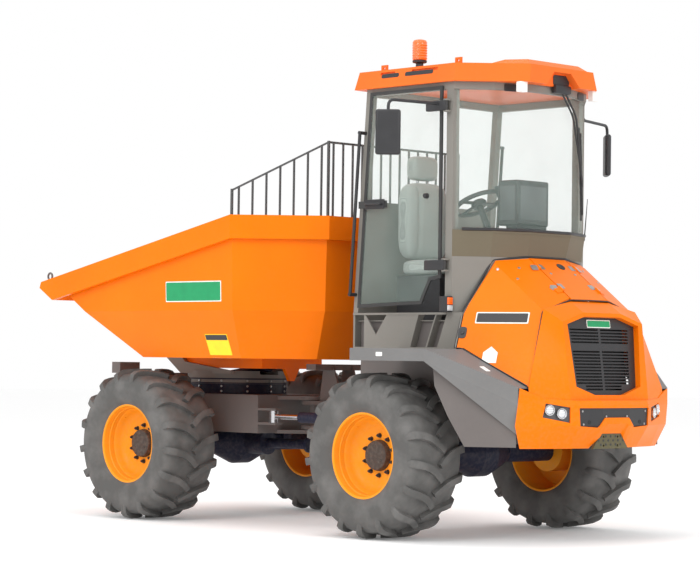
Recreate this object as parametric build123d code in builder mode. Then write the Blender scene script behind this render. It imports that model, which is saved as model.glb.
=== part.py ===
from build123d import *
from math import cos, hypot, radians, sin, sqrt, tan
import os

# Articulated four-wheel site dumper with a slewing tip skip, a reversible driver's
# station in a closed cab, and its engine behind the cab.
# +X points from the engine towards the skip's lip, +Y to the door side, +Z up.
# The origin lies on the ground under the middle of the machine. All sizes in mm.

# ---- stance ----
wheelbase = 2525.0
front_axle_x = 1390.0
rear_axle_x = front_axle_x - wheelbase
pivot_x = 527.0
track_half = 934.0

# ---- wheels ----
tyre_radius = 570.0
tyre_width = 500.0
lug_height = 34.0
lugs_each_side = 17
rim_radius = 287.0
rim_width = 424.0
flange_height = 11.0
flange_wall = 8.0
rim_wall = 9.0
disc_offset = 24.0
disc_thickness = 16.0
dish_radius = 214.0
hub_cap_radius = 105.0
hub_cap_face = 88.0
hub_radius = 150.0
hub_back = 150.0
spindle_radius = 55.0
running_fit = 0.08
seat_gap = 0.3
working_gap = 5.0

# ---- axles ----
axle_tube_radius = 72.0
differential_radius = 170.0
differential_half = 70.0
pinion_radius = 92.0
pinion_reach = 340.0
shaft_radius = 38.0
flange_radius = 62.0
flange_depth = 26.0
joint_gap = 40.0

# ---- frames ----
plate = 15.0
frame_bottom = 660.0
frame_top = 950.0
front_frame_half = 450.0
front_frame_back = 687.0
front_frame_nose = 1900.0
rear_frame_half = 310.0
rear_frame_end = -2290.0

rear_frame_start = -150.0
tongue_half = 170.0
tongue_plate = 30.0
tongue_lower_z = 690.0
tongue_upper_z = 880.0
pivot_pin_radius = 38.0
pivot_boss_radius = 110.0
ear_plate = 28.0

post_back_x = 127.0
post_front_x = 367.0
post_half = 110.0
post_beam_half = 290.0
post_top_z = 1190.0

# ---- slewing ring and turntable ----
slew_x = 1427.0
ring_radius = 390.0
ring_bore = 290.0
ring_split_z = 1028.0
ring_top_z = 1106.0
ring_running_gap = 0.5
table_plate = 22.0
arm_inner_y = 332.0
arm_plate = 34.0
tip_x = 1847.0
tip_z = 1320.0
tip_pin_radius = 30.0
tip_boss_radius = 58.0

# ---- skip ----
skip_half = 1200.0
skip_back_x = -313.0
back_half = 690.0
rim_top_z = 2266.0
rim_band_depth = 172.0
band_stand = 35.0
crease_z = 1575.0
crease_inset = 60.0
skip_bottom_z = 1226.0
bottom_inset = 200.0
skip_wall = 12.0
floor_end_x = 1387.0
chute_angle = 32.5
rim_fall = 0.2039
lip_top = (2420.0, 1808.0)
lip_tip = (2438.0, 1761.0)
lip_low = (2275.0, 1665.0)
guard_bar = 6.0
guard_rail = 8.0
guard_pitch = 100.0
guard_low_top = 2443.0
guard_high_top = 2800.0

# ---- skip underframe ----
under_bottom_z = 1150.0
under_back_x = 790.0
under_plate = 24.0
under_outer_y = 318.0
wedge_tip_z = 1055.0

# ---- cylinders ----
tip_base = (1547.0, 1090.0)
tip_eye = (907.0, 1180.0)
tip_barrel_radius = 36.0
tip_rod_radius = 21.0
tip_fork = 110.0
steer_eye_y = 430.0
steer_z = 790.0
steer_base_x = -330.0
steer_lock = 33.0
steer_spare = 2.0
steer_base_y = 376.0
steer_barrel_radius = 40.0
steer_rod_radius = 20.0
steer_fork = 90.0
steer_lug = 18.0

# ---- deck, side panels and bumper ----
deck_top = 1307.0
deck_lip = 85.0
deck_front_x = -1024.0
deck_clear = 20.0
deck_bend_x = rear_axle_x - tyre_radius - deck_clear
deck_outer_y = 1170.0
deck_inner_y = 700.3
deck_end_x = -2238.0
deck_end_y = 800.0
deck_end_top = 1056.0
deck_end_fold = 940.0
deck_end_bottom = 732.0
side_bottom = 655.0
panel_inset = 80.0
sheet = 8.0

bumper_bottom = 647.0
bumper_top = 972.0
bumper_wall = 30.0
notch_wall = 10.0
lamp_radius = 36.0

hitch_x = -2379.0
hitch_z = 695.0
hitch_spacing_y = 150.0
hitch_spacing_z = 60.0
hitch_hole_radius = 8.5

# ---- hood ----
hood_front_x = -1683.0
hood_low_half = 800.0
hood_low_z = 1300.0
hood_crown_z = 1946.0
hood_bend_x = -1796.0
hood_slope = 0.7475
crown_half = 195.0
crown_fall = 0.32
hood_corner = (-1733.0, 492.0, 1882.0)
corner_turn = 0.468
corner_lean = 0.741
side_lean = 0.496
side_taper = 0.38
face_lean = 0.13
gap_x = -2176.0
gap_z = 1594.0
face_depth = 114.0
grille_depth = 50.0
lid_skin = 12.0
panel_gap = 10.0
knuckle_radius = 9.0
knuckle_rise = 4.0

slat_count = 20
slat_top = 1440.0
cross_bar_z = 1320.0
slat_pitch = 21.5
slat_gap = 12.0

# ---- cab ----
cab_half = 700.0
cab_front_x = -583.0
cab_lean = 0.0688
door_sill_z = 1560.0
cab_head_z = 3150.0
pillar_x = -1473.0
pillar_depth = 62.0
pillar_wide = 60.0
cab_rear_x = -1830.0
bulkhead_x = -1635.0
bulkhead_y = 690.0
lid_low_x = -1680.0
web_depth = 60.0
sill_stand = 4.0
ledge_z = 2130.0
glass = 6.0
cab_floor_z = 1500.0
base_low_z = 1290.0

window_sill_z = 2360.0
cowl_low_z = hood_crown_z + seat_gap
cowl_middle_x = -1787.0
cowl_middle_y = 203.0
cowl_side_x = -1699.0
cowl_side_y = 484.0
hinge_low_z = 1885.0
hinge_high_z = 2985.0
hinge_y_door = 732.0
door_border = 24.0
door_depth = 14.0
mirror_x = -1366.0
mirror_y = 1169.0
mirror_z = 2780.0
beacon_x = -1063.0
beacon_y = 550.0
beacon_radius = 62.0

rail_stand = 60.0
rail_low_z = 1690.0
rail_high_z = 2840.0

# ---- driver's station ----
seat_front_x = -1210.0
seat_rear_x = -760.0
seat_y = 0.0
seat_width = 440.0
seat_height = 330.0
cushion_depth = 120.0
wheel_radius = 190.0

# ---- roof ----
roof_high_z = 3278.0
roof_hump_z = 3322.0
roof_inset = 25.0
roof_front_x = -600.0
roof_half = 735.0
roof_corner_x = -1570.0
roof_rear_x = -1930.0
roof_rear_half = 360.0


def side_profile(points, y_low, y_high, mode=Mode.ADD):
    """Extrude a closed outline, drawn in X and Z, from y_low to y_high."""
    with BuildSketch(Plane.XZ.offset(-y_low)) as outline:
        with BuildLine():
            Polyline(*points, close=True)
        make_face()
    extrude(outline.sketch, amount=y_low - y_high, mode=mode)


def plan_profile(points, z_low, z_high, mode=Mode.ADD):
    """Extrude a closed outline, drawn in X and Y, from z_low to z_high."""
    with BuildSketch(Plane.XY.offset(z_low)) as outline:
        with BuildLine():
            Polyline(*points, close=True)
        make_face()
    extrude(outline.sketch, amount=z_high - z_low, mode=mode)


def cross_profile(points, x_low, x_high, mode=Mode.ADD):
    """Extrude a closed outline, drawn in Y and Z, from x_low to x_high."""
    with BuildSketch(Plane.YZ.offset(x_low)) as outline:
        with BuildLine():
            Polyline(*points, close=True)
        make_face()
    extrude(outline.sketch, amount=x_high - x_low, mode=mode)


def block(x_low, x_high, y_low, y_high, z_low, z_high, mode=Mode.ADD):
    """A plain block between six planes."""
    with Locations(((x_low + x_high) / 2, (y_low + y_high) / 2, (z_low + z_high) / 2)):
        Box(x_high - x_low, y_high - y_low, z_high - z_low, mode=mode)


def round_bar(start, end, radius, mode=Mode.ADD):
    """A round bar from one point to another."""
    run = Vector(*end) - Vector(*start)
    with BuildSketch(Plane(origin=start, z_dir=run)) as section:
        Circle(radius)
    extrude(section.sketch, amount=run.length, mode=mode)


def ring_profile(points, wall, z_low, z_high, mode=Mode.ADD):
    """Extrude the band between a closed outline, drawn in X and Y, and its inner offset."""
    with BuildSketch(Plane.XY.offset(z_low)) as outline:
        with BuildLine():
            Polyline(*points, close=True)
        make_face()
        offset(amount=-wall, kind=Kind.INTERSECTION, mode=Mode.SUBTRACT)
    extrude(outline.sketch, amount=z_high - z_low, mode=mode)


def mirrored(points):
    """An outline in (x, y), from one side to the middle, closed by its mirror image about y = 0."""
    return points + tuple((x, -y) for x, y in reversed(points))


def span(side, low, high):
    """A stretch in Y on the machine's left (side 1) or right (side -1)."""
    return sorted((side * low, side * high))


def save(name, piece):
    """Label a finished piece and write it."""
    piece.label = name
    export_step(piece, f"parts/{name}.step")


os.makedirs("parts", exist_ok=True)

# =============================== wheels ===============================
# One left wheel is made about the origin, its axis along Y, and set at each hub.
WHEELS = (  # name, x, side
    ("front_left", front_axle_x, 1),
    ("front_right", front_axle_x, -1),
    ("rear_left", rear_axle_x, 1),
    ("rear_right", rear_axle_x, -1),
)
tyre_half = tyre_width / 2
rim_half = rim_width / 2
tread_radius = tyre_radius - lug_height
lug_pitch = 360.0 / lugs_each_side
CARCASS = (  # y, distance from the axis to the middle of each flat
    (-tyre_half, tread_radius - 95.0),
    (-tyre_half + 45.0, tread_radius - 12.0),
    (tyre_half - 45.0, tread_radius - 12.0),
    (tyre_half, tread_radius - 95.0),
)
ENVELOPE = (  # y, distance from the axis to the middle of each flat
    (-tyre_half, tyre_radius - 38.0),
    (-tyre_half + 60.0, tyre_radius),
    (tyre_half - 60.0, tyre_radius),
    (tyre_half, tyre_radius - 38.0),
)
LUG = (  # along the tread, across it: from the tip at the crown's middle out to the shoulder
    (-16.0, 2.0),
    (60.0, 92.0),
    (92.0, tyre_half),
    (142.0, tyre_half),
    (108.0, 72.0),
    (16.0, -30.0),
)


def polygon_stack(stations, mode=Mode.ADD):
    """Tapering prisms about Y, with two flats to each bar of the tread, through stations of y and flat distance."""
    for start, end in zip(stations, stations[1:]):
        faces = []
        for y, apothem in (start, end):
            with BuildSketch(Plane.XZ.offset(-y)) as ring:
                RegularPolygon(apothem, 2 * lugs_each_side, major_radius=False)
            faces.append(ring.sketch)
        loft(faces, ruled=True, mode=mode)


def make_lug(side, turn):
    """One bar of the tread, bending from the crown's middle out over the shoulder."""
    with BuildSketch(Plane.XY.offset(tread_radius - 110.0)) as bar:
        with BuildLine():
            Polyline(*tuple((along, side * across) for along, across in LUG), close=True)
        make_face()
    with BuildPart() as lug:
        extrude(bar.sketch, amount=160.0)
    return lug.part.rotate(Axis.Y, turn)


def make_tyre():
    """A tractor-pattern tyre: a carcass of flats with two rows of bars, open round the rim."""
    bead = rim_radius + seat_gap
    bead_y = rim_half - flange_wall - seat_gap
    with BuildPart() as tread:
        add([make_lug(1, number * lug_pitch) for number in range(lugs_each_side)])
        add([make_lug(-1, (number + 0.5) * lug_pitch) for number in range(lugs_each_side)])
        with BuildPart(mode=Mode.PRIVATE) as envelope:
            polygon_stack(ENVELOPE)
        add(envelope.part, mode=Mode.INTERSECT)
    with BuildPart() as tyre:
        polygon_stack(CARCASS)
        add(tread.part)
        polygon_stack(((-tyre_half - 1.0, bead), (tyre_half + 1.0, bead)), Mode.SUBTRACT)
        for side in (-1, 1):
            polygon_stack(((side * bead_y, rim_radius + flange_height + 3.0), (side * tyre_half, bead + 95.0)),
                          Mode.SUBTRACT)
    return tyre.part


def make_rim():
    """A deep one-piece rim with its dish, hub drum and hub cap, the cap towards +Y."""
    inside = rim_radius - rim_wall
    lip = rim_radius + flange_height
    bore = spindle_radius + running_fit
    dish = disc_offset + disc_thickness
    with BuildPart() as rim:
        with BuildSketch(Plane.YZ) as section:
            with BuildLine():
                Polyline((-rim_half, inside), (-rim_half, lip), (-rim_half + flange_wall, lip),
                         (-rim_half + flange_wall, rim_radius), (rim_half - flange_wall, rim_radius),
                         (rim_half - flange_wall, lip), (rim_half, lip), (rim_half, inside),
                         (rim_half - 62.0, inside - 10.0), (dish + 34.0, inside - 24.0), (dish, dish_radius),
                         (dish, hub_cap_radius), (hub_cap_face, hub_cap_radius - 8.0), (hub_cap_face, 0.0),
                         (0.0, 0.0), (0.0, bore), (-hub_back, bore), (-hub_back, hub_radius),
                         (disc_offset, hub_radius), (disc_offset, inside), close=True)
            make_face()
        revolve(section.sketch, axis=Axis.Y)
    return rim.part


tyre_left = make_tyre()
rim_left = make_rim()
for name, x, side in WHEELS:
    hub = Location((x, side * track_half, tyre_radius))
    for kind, left in (("tyre", tyre_left), ("rim", rim_left)):
        turned = left if side > 0 else left.mirror(Plane.XZ)
        save(f"{kind}_{name}", turned.moved(hub))

# =============================== axles ===============================
AXLES = (  # name, x, direction of the pinion, y of the frame pads, x where the propeller shaft ends
    ("front_axle", front_axle_x, -1, front_frame_half - plate / 2, pivot_x + joint_gap),
    ("rear_axle", rear_axle_x, 1, rear_frame_half, pivot_x - joint_gap),
)
tube_end = track_half - hub_back - working_gap
spindle_end = track_half - 12.0


def make_axle(x, toward, pad_y, shaft_end):
    """A rigid drive axle: differential, tubes, spindles, pinion nose and frame pads."""
    with BuildPart() as axle:
        with BuildSketch(Plane(origin=(x, 0, tyre_radius), x_dir=(0, 1, 0), z_dir=(1, 0, 0))) as section:
            with BuildLine():
                Polyline((0.0, 0.0), (0.0, differential_radius), (differential_half, differential_radius),
                         (230.0, 105.0), (300.0, axle_tube_radius), (tube_end, axle_tube_radius),
                         (tube_end, spindle_radius), (spindle_end, spindle_radius), (spindle_end, 0.0), close=True)
            make_face()
        revolve(section.sketch, axis=Axis((x, 0, tyre_radius), (0, 1, 0)))
        mirror(about=Plane.XZ)
        round_bar((x, 0, tyre_radius), (x + toward * pinion_reach, 0, tyre_radius), pinion_radius)
        for side in (-1, 1):
            block(x - 90.0, x + 90.0, side * pad_y - 40.0, side * pad_y + 40.0, tyre_radius, frame_bottom)
        round_bar((x + toward * pinion_reach, 0, tyre_radius), (shaft_end, 0, tyre_radius), shaft_radius)
        round_bar((shaft_end, 0, tyre_radius), (shaft_end - toward * flange_depth, 0, tyre_radius), flange_radius)
    return axle.part


for name, x, toward, pad_y, shaft_end in AXLES:
    save(name, make_axle(x, toward, pad_y, shaft_end))

# =============================== front frame ===============================
ear_low_z = tongue_lower_z - working_gap - ear_plate
ear_high_z = tongue_upper_z + tongue_plate + working_gap
with BuildPart() as front_frame:
    block(front_frame_back, front_frame_nose, -front_frame_half, front_frame_half, frame_bottom, frame_top)
    block(front_frame_back + plate, front_frame_nose - plate, -front_frame_half + plate, front_frame_half - plate,
          frame_bottom, frame_top - plate, mode=Mode.SUBTRACT)
    for z in (ear_low_z, ear_high_z):
        plan_profile(((front_frame_back + plate, -260.0), (front_frame_back + plate, 260.0),
                      (pivot_x, pivot_boss_radius), (pivot_x, -pivot_boss_radius)), z, z + ear_plate)
        with Locations((pivot_x, 0, z + ear_plate / 2)):
            Cylinder(pivot_boss_radius, ear_plate)
    with Locations((pivot_x, 0, (frame_bottom + frame_top) / 2)):
        Cylinder(pivot_pin_radius + running_fit, 600.0, mode=Mode.SUBTRACT)
    for side in (-1, 1):
        for z in (steer_z - steer_fork / 2 - steer_lug, steer_z + steer_fork / 2):
            y_low, y_high = span(side, steer_eye_y - 50.0, steer_eye_y + 20.0)
            block(pivot_x - 35.0, front_frame_back + plate, y_low, y_high, z, z + steer_lug)
save("front_frame", front_frame.part)

with BuildPart() as slew_ring_lower:
    with Locations((slew_x, 0, (frame_top + ring_split_z - ring_running_gap) / 2)):
        Cylinder(ring_radius, ring_split_z - ring_running_gap - frame_top)
        Cylinder(ring_bore, ring_split_z, mode=Mode.SUBTRACT)
save("slew_ring_lower", slew_ring_lower.part)

# =============================== turntable ===============================
table_top = ring_top_z + table_plate
ARM = ((1090.0, table_top), (1090.0, ring_top_z), (1690.0, ring_top_z), (tip_x + 46.0, tip_z - 70.0),
       (tip_x, tip_z), (tip_x - 40.0, tip_z + 42.0), (1640.0, 1196.0))
with BuildPart() as turntable:
    with Locations((slew_x, 0, (ring_split_z + ring_top_z) / 2)):
        Cylinder(ring_radius, ring_top_z - ring_split_z)
        Cylinder(ring_bore, ring_top_z, mode=Mode.SUBTRACT)
    with Locations((slew_x, 0, ring_top_z + table_plate / 2)):
        Cylinder(ring_radius - 6.0, table_plate)
    block(slew_x - ring_radius - 20.0, tip_base[0] + 90.0, -95.0, 95.0, ring_top_z - 5.0, table_top + 5.0,
          mode=Mode.SUBTRACT)
    for side in (-1, 1):
        y_low, y_high = sorted((side * arm_inner_y, side * (arm_inner_y + arm_plate)))
        side_profile(ARM, y_low, y_high)
        round_bar((tip_x, y_low, tip_z), (tip_x, y_high, tip_z), tip_boss_radius)
    round_bar((tip_x, -arm_inner_y - arm_plate - 20.0, tip_z), (tip_x, arm_inner_y + arm_plate + 20.0, tip_z),
              tip_pin_radius)
    for side in (-1, 1):
        y_low, y_high = span(side, tip_fork / 2, tip_fork / 2 + under_plate)
        side_profile(((tip_base[0] - 50.0, tip_base[1] - 50.0), (tip_base[0] + 120.0, tip_base[1] - 50.0),
                      (tip_base[0] + 120.0, table_top), (tip_base[0] - 50.0, table_top)), y_low, y_high)
    block(tip_base[0] + 90.0, tip_base[0] + 120.0, -tip_fork / 2 - under_plate, tip_fork / 2 + under_plate,
          tip_base[1] - 50.0, table_top)
save("turntable", turntable.part)

# =============================== skip ===============================
chute_slope = tan(radians(chute_angle))
rim_corner_x = skip_back_x + skip_half - back_half


def skip_plan(inset, front_x):
    """The skip's outline in plan, moved inwards by inset: half an octagon at the back."""
    cut = inset * (sqrt(2.0) - 1.0)
    half = skip_half - inset
    return ((front_x, half), (rim_corner_x + cut, half), (skip_back_x + inset, back_half - cut),
            (skip_back_x + inset, -back_half + cut), (rim_corner_x + cut, -half), (front_x, -half))


def loft_skip(wall, mode):
    """The skip's body between its bottom, its crease and its rim, thinner by wall."""
    front_x = lip_tip[0] + 60.0
    levels = ((skip_bottom_z + wall, bottom_inset), (crease_z, crease_inset), (rim_top_z + wall, band_stand))
    for (z_low, low), (z_high, high) in zip(levels, levels[1:]):
        with BuildSketch(Plane.XY.offset(z_low)) as lower:
            with BuildLine():
                Polyline(*skip_plan(low + wall, front_x), close=True)
            make_face()
        with BuildSketch(Plane.XY.offset(z_high)) as upper:
            with BuildLine():
                Polyline(*skip_plan(high + wall, front_x), close=True)
            make_face()
        loft([lower.sketch, upper.sketch], ruled=True, mode=mode)


def cut_chute(raised, mode):
    """Everything below the chute floor, raised by so much, out to past the lip."""
    far_x = lip_tip[0] + 100.0
    shift = raised / cos(radians(chute_angle))
    low_x = floor_end_x - 300.0
    side_profile(((low_x, skip_bottom_z + shift + (low_x - floor_end_x) * chute_slope),
                  (far_x, skip_bottom_z + shift + (far_x - floor_end_x) * chute_slope),
                  (far_x, 0.0), (low_x, 0.0)), -skip_half - 50.0, skip_half + 50.0, mode=mode)


def rim_z(x):
    """Height of the rim's top edge: level at the back, falling to the lip."""
    return rim_top_z - max(0.0, x - rim_corner_x) * rim_fall


RIM_TOP = ((skip_back_x - 50.0, rim_top_z), (rim_corner_x, rim_top_z),
           (lip_tip[0] + 100.0, rim_z(lip_tip[0] + 100.0)))


def make_skip_shell():
    """The skip: plate walls leaning in two steps, a chute, and a rim band standing proud."""
    with BuildPart() as cavity:
        loft_skip(skip_wall, Mode.ADD)
        cut_chute(skip_wall, Mode.SUBTRACT)
    with BuildPart() as band:
        plan_profile(skip_plan(0.0, lip_tip[0] + 60.0), rim_top_z - 700.0, rim_top_z)
        plan_profile(skip_plan(band_stand + 1.0, lip_tip[0] + 60.0), rim_top_z - 800.0, rim_top_z + 1.0,
                     mode=Mode.SUBTRACT)
        keep = ((skip_back_x - 50.0, rim_top_z), (rim_corner_x, rim_top_z), lip_top, lip_tip, lip_low,
                (rim_corner_x, rim_top_z - rim_band_depth), (skip_back_x - 50.0, rim_top_z - rim_band_depth))
        side_profile(keep, -skip_half - 5.0, skip_half + 5.0, mode=Mode.INTERSECT)
    lip_floor = skip_bottom_z + (lip_low[0] - floor_end_x) * chute_slope
    with BuildPart() as skip_shell:
        loft_skip(0.0, Mode.ADD)
        cut_chute(0.0, Mode.SUBTRACT)
        side_profile((RIM_TOP[0], RIM_TOP[1], RIM_TOP[2], (lip_tip[0] + 100.0, 3000.0),
                      (skip_back_x - 50.0, 3000.0)), -skip_half - 5.0, skip_half + 5.0, mode=Mode.SUBTRACT)
        add(cavity.part, mode=Mode.SUBTRACT)
        block(lip_low[0] - 40.0, lip_tip[0] + 200.0, -skip_half - 5.0, skip_half + 5.0, 1200.0, 2400.0,
              mode=Mode.SUBTRACT)
        add(band.part)
        side_profile(((lip_low[0] - 60.0, lip_floor - 60.0 * chute_slope - 4.0), lip_low, lip_tip, lip_top,
                      (lip_low[0] - 60.0, lip_floor - 60.0 * chute_slope + 30.0)), -skip_half + 2.0, skip_half - 2.0)
    return skip_shell.part


skip_shell = make_skip_shell()
save("skip_shell", skip_shell)

UNDER = ((under_back_x, skip_bottom_z - seat_gap), (under_back_x, under_bottom_z), (1620.0, under_bottom_z),
         (tip_x - 50.0, tip_z - 40.0), (tip_x, tip_z - 50.0), (tip_x + 60.0, tip_z),
         (tip_x + 90.0, skip_bottom_z + (tip_x + 90.0 - floor_end_x) * chute_slope - 1.0),
         (floor_end_x, skip_bottom_z - seat_gap))
with BuildPart() as skip_underframe:
    for side in (-1, 1):
        y_low, y_high = sorted((side * (under_outer_y - under_plate), side * under_outer_y))
        side_profile(UNDER, y_low, y_high)
        round_bar((tip_x, y_low, tip_z), (tip_x, y_high, tip_z), tip_boss_radius - 4.0)
    for x in (under_back_x, 1590.0):
        block(x, x + 20.0, -under_outer_y + 5.0, under_outer_y - 5.0, under_bottom_z, skip_bottom_z - seat_gap)
    for side in (-1, 1):
        y_low, y_high = span(side, tip_fork / 2, tip_fork / 2 + under_plate)
        block(under_back_x, tip_eye[0] + 60.0, y_low, y_high, under_bottom_z, skip_bottom_z - seat_gap)
    cross_profile(((-90.0, under_bottom_z + 20.0), (-24.0, wedge_tip_z), (24.0, wedge_tip_z),
                   (90.0, under_bottom_z + 20.0)), under_back_x, under_back_x + 30.0)
    with Locations((tip_x, 0, tip_z)):
        Cylinder(tip_pin_radius + running_fit, 2000.0, rotation=(90, 0, 0), mode=Mode.SUBTRACT)
save("skip_underframe", skip_underframe.part)


# =============================== skip guard ===============================
def rail_bar(start, end):
    """A flat bar standing on edge from one point to another."""
    run = Vector(*end) - Vector(*start)
    level = Vector(run.X, run.Y, 0)
    across = level.cross(Vector(0, 0, 1)).normalized()
    low, high = -guard_rail, guard_rail
    with BuildSketch(Plane(origin=Vector(*start) - across * guard_bar / 2, x_dir=level, z_dir=across)) as outline:
        with BuildLine():
            Polyline((0.0, low), (level.length, run.Z + low), (level.length, run.Z + high), (0.0, high), close=True)
        make_face()
    extrude(outline.sketch, amount=guard_bar)


def make_guard():
    """Upright bars along the skip's chamfers and back, under one rising top rail."""
    inside = band_stand / 2
    path = (  # x, y, height of the rail
        (rim_corner_x, skip_half - inside, guard_low_top),
        (skip_back_x + inside, back_half, guard_high_top),
        (skip_back_x + inside, -back_half, guard_high_top),
        (rim_corner_x, -skip_half + inside, guard_low_top),
    )
    with BuildPart() as guard:
        for start, end in zip(path, path[1:]):
            rail_bar(start, end)
            run = hypot(end[0] - start[0], end[1] - start[1])
            count = round(run / guard_pitch)
            for step in range(count):
                share = (step + 0.5) / count
                x, y, top = (a + (b - a) * share for a, b in zip(start, end))
                block(x - guard_bar, x + guard_bar, y - guard_bar, y + guard_bar, rim_top_z, top)
        for x, y, top in path:
            block(x - guard_rail, x + guard_rail, y - guard_rail, y + guard_rail, rim_top_z, top + guard_rail + 2.0)
    return guard.part


save("skip_guard", make_guard())


# =============================== hydraulic cylinders ===============================
def make_cylinder(base, eye, barrel_radius, rod_radius, eye_width, barrel_share, closing=0.0):
    """A barrel with its base eye and a rod with its end eye, at rest, with the rod able to close further."""
    run = Vector(*eye) - Vector(*base)
    along = run.normalized()
    barrel_end = Vector(*base) + along * (run.length * barrel_share)
    across = Vector(0, 1, 0) if abs(along.Y) < 0.5 and abs(along.Z) > 0.05 else Vector(0, 0, 1)
    eye_radius = rod_radius * 1.6
    with BuildPart() as barrel:
        round_bar(tuple(Vector(*base) + along * eye_radius * 0.8), tuple(barrel_end), barrel_radius)
        round_bar(tuple(Vector(*base) - across * (eye_width / 2)), tuple(Vector(*base) + across * (eye_width / 2)),
                  eye_radius * 1.1)
        round_bar(tuple(Vector(*base) + along * eye_radius * 2), tuple(barrel_end + along * 5),
                  rod_radius + running_fit, mode=Mode.SUBTRACT)
    with BuildPart() as rod:
        round_bar(tuple(Vector(*base) + along * (eye_radius * 2.4 + closing)), tuple(Vector(*eye)), rod_radius)
        round_bar(tuple(Vector(*eye) - across * (eye_width / 2)), tuple(Vector(*eye) + across * (eye_width / 2)),
                  eye_radius)
    return barrel.part, rod.part


barrel, rod = make_cylinder((tip_base[0], 0, tip_base[1]), (tip_eye[0], 0, tip_eye[1]), tip_barrel_radius,
                            tip_rod_radius, tip_fork - 2 * seat_gap, 0.78)
save("tip_barrel", barrel)
save("tip_rod", rod)
for name, side in (("left", 1), ("right", -1)):
    barrel, rod = make_cylinder((steer_base_x, side * steer_base_y, steer_z), (pivot_x, side * steer_eye_y, steer_z),
                                steer_barrel_radius, steer_rod_radius, steer_fork - 2 * seat_gap, 0.68,
                                steer_eye_y * sin(radians(steer_lock)) + steer_spare)
    save(f"steer_barrel_{name}", barrel)
    save(f"steer_rod_{name}", rod)

# =============================== rear frame ===============================
with BuildPart() as rear_frame:
    for side in (-1, 1):
        y_low, y_high = sorted((side * (rear_frame_half - plate), side * (rear_frame_half + plate)))
        side_profile(((rear_frame_end, frame_bottom), (rear_frame_start, frame_bottom), (rear_frame_start, frame_top),
                      (rear_frame_end, frame_top)), y_low, y_high)
    for x in (rear_frame_end, -1440.0, -700.0, rear_frame_start - plate):
        low = frame_bottom + 5.0 if x == rear_frame_end else frame_bottom + 120.0
        block(x, x + plate, -rear_frame_half, rear_frame_half, low, frame_top)
    for z in (tongue_lower_z, tongue_upper_z):
        plan_profile(((rear_frame_start - plate, -rear_frame_half), (rear_frame_start - plate, rear_frame_half),
                      (100.0, tongue_half), (pivot_x, pivot_boss_radius - 5.0), (pivot_x, -pivot_boss_radius + 5.0),
                      (100.0, -tongue_half)), z, z + tongue_plate)
        with Locations((pivot_x, 0, z + tongue_plate / 2)):
            Cylinder(pivot_boss_radius - 5.0, tongue_plate)
    block(rear_frame_start, 330.0, -tongue_half + 10.0, -tongue_half + 10.0 + plate, tongue_lower_z, tongue_upper_z + 5.0)
    block(rear_frame_start, 330.0, tongue_half - 10.0 - plate, tongue_half - 10.0, tongue_lower_z, tongue_upper_z + 5.0)
    with Locations((pivot_x, 0, (ear_low_z + ear_high_z + ear_plate) / 2)):
        Cylinder(pivot_pin_radius, ear_high_z + ear_plate - ear_low_z)
    for side in (-1, 1):
        for z in (steer_z - steer_fork / 2 - steer_lug, steer_z + steer_fork / 2):
            y_low, y_high = span(side, rear_frame_half, steer_base_y + 45.0)
            block(steer_base_x - 60.0, steer_base_x + 40.0, y_low, y_high, z, z + steer_lug)
    for side in (-1, 1):
        y_low, y_high = span(side, post_half - plate, post_half)
        side_profile(((post_back_x, tongue_upper_z + tongue_plate - 2.0), (post_front_x, tongue_upper_z + tongue_plate - 2.0),
                      (post_front_x - 40.0, post_top_z - 5.0), (post_back_x + 100.0, post_top_z - 5.0)), y_low, y_high)
    block(post_back_x + 100.0, post_front_x - 40.0, -post_beam_half, post_beam_half, post_top_z - 45.0, post_top_z)
    ring_profile(((cab_front_x - 20.0, 640.0), (bulkhead_x + 20.0, 640.0), (bulkhead_x + 20.0, -640.0),
                  (cab_front_x - 20.0, -640.0)), sheet, frame_top, cab_floor_z - seat_gap)
save("rear_frame", rear_frame.part)

with BuildPart() as engine_block:
    block(-2090.0, -1690.0, -260.0, 260.0, 800.0, 1480.0)
    for side in (-1, 1):
        y_low, y_high = sorted((side * 255.0, side * (rear_frame_half - plate - seat_gap)))
        block(-1980.0, -1880.0, y_low, y_high, 900.0, 960.0)
save("engine_block", engine_block.part)


# =============================== deck and side panels ===============================
def leaning_plate(points, thickness, mode=Mode.ADD):
    """A flat plate through corners given in space, running so thick to the left of their turn."""
    first, second, third = (Vector(*point) for point in points[:3])
    lie = Plane(origin=first, x_dir=second - first, z_dir=(second - first).cross(third - second))
    with BuildSketch(lie) as outline:
        with BuildLine():
            Polyline(*tuple((lie.to_local_coords(Vector(*point)).X, lie.to_local_coords(Vector(*point)).Y)
                            for point in points), close=True)
        make_face()
    extrude(outline.sketch, amount=thickness, mode=mode)


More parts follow.
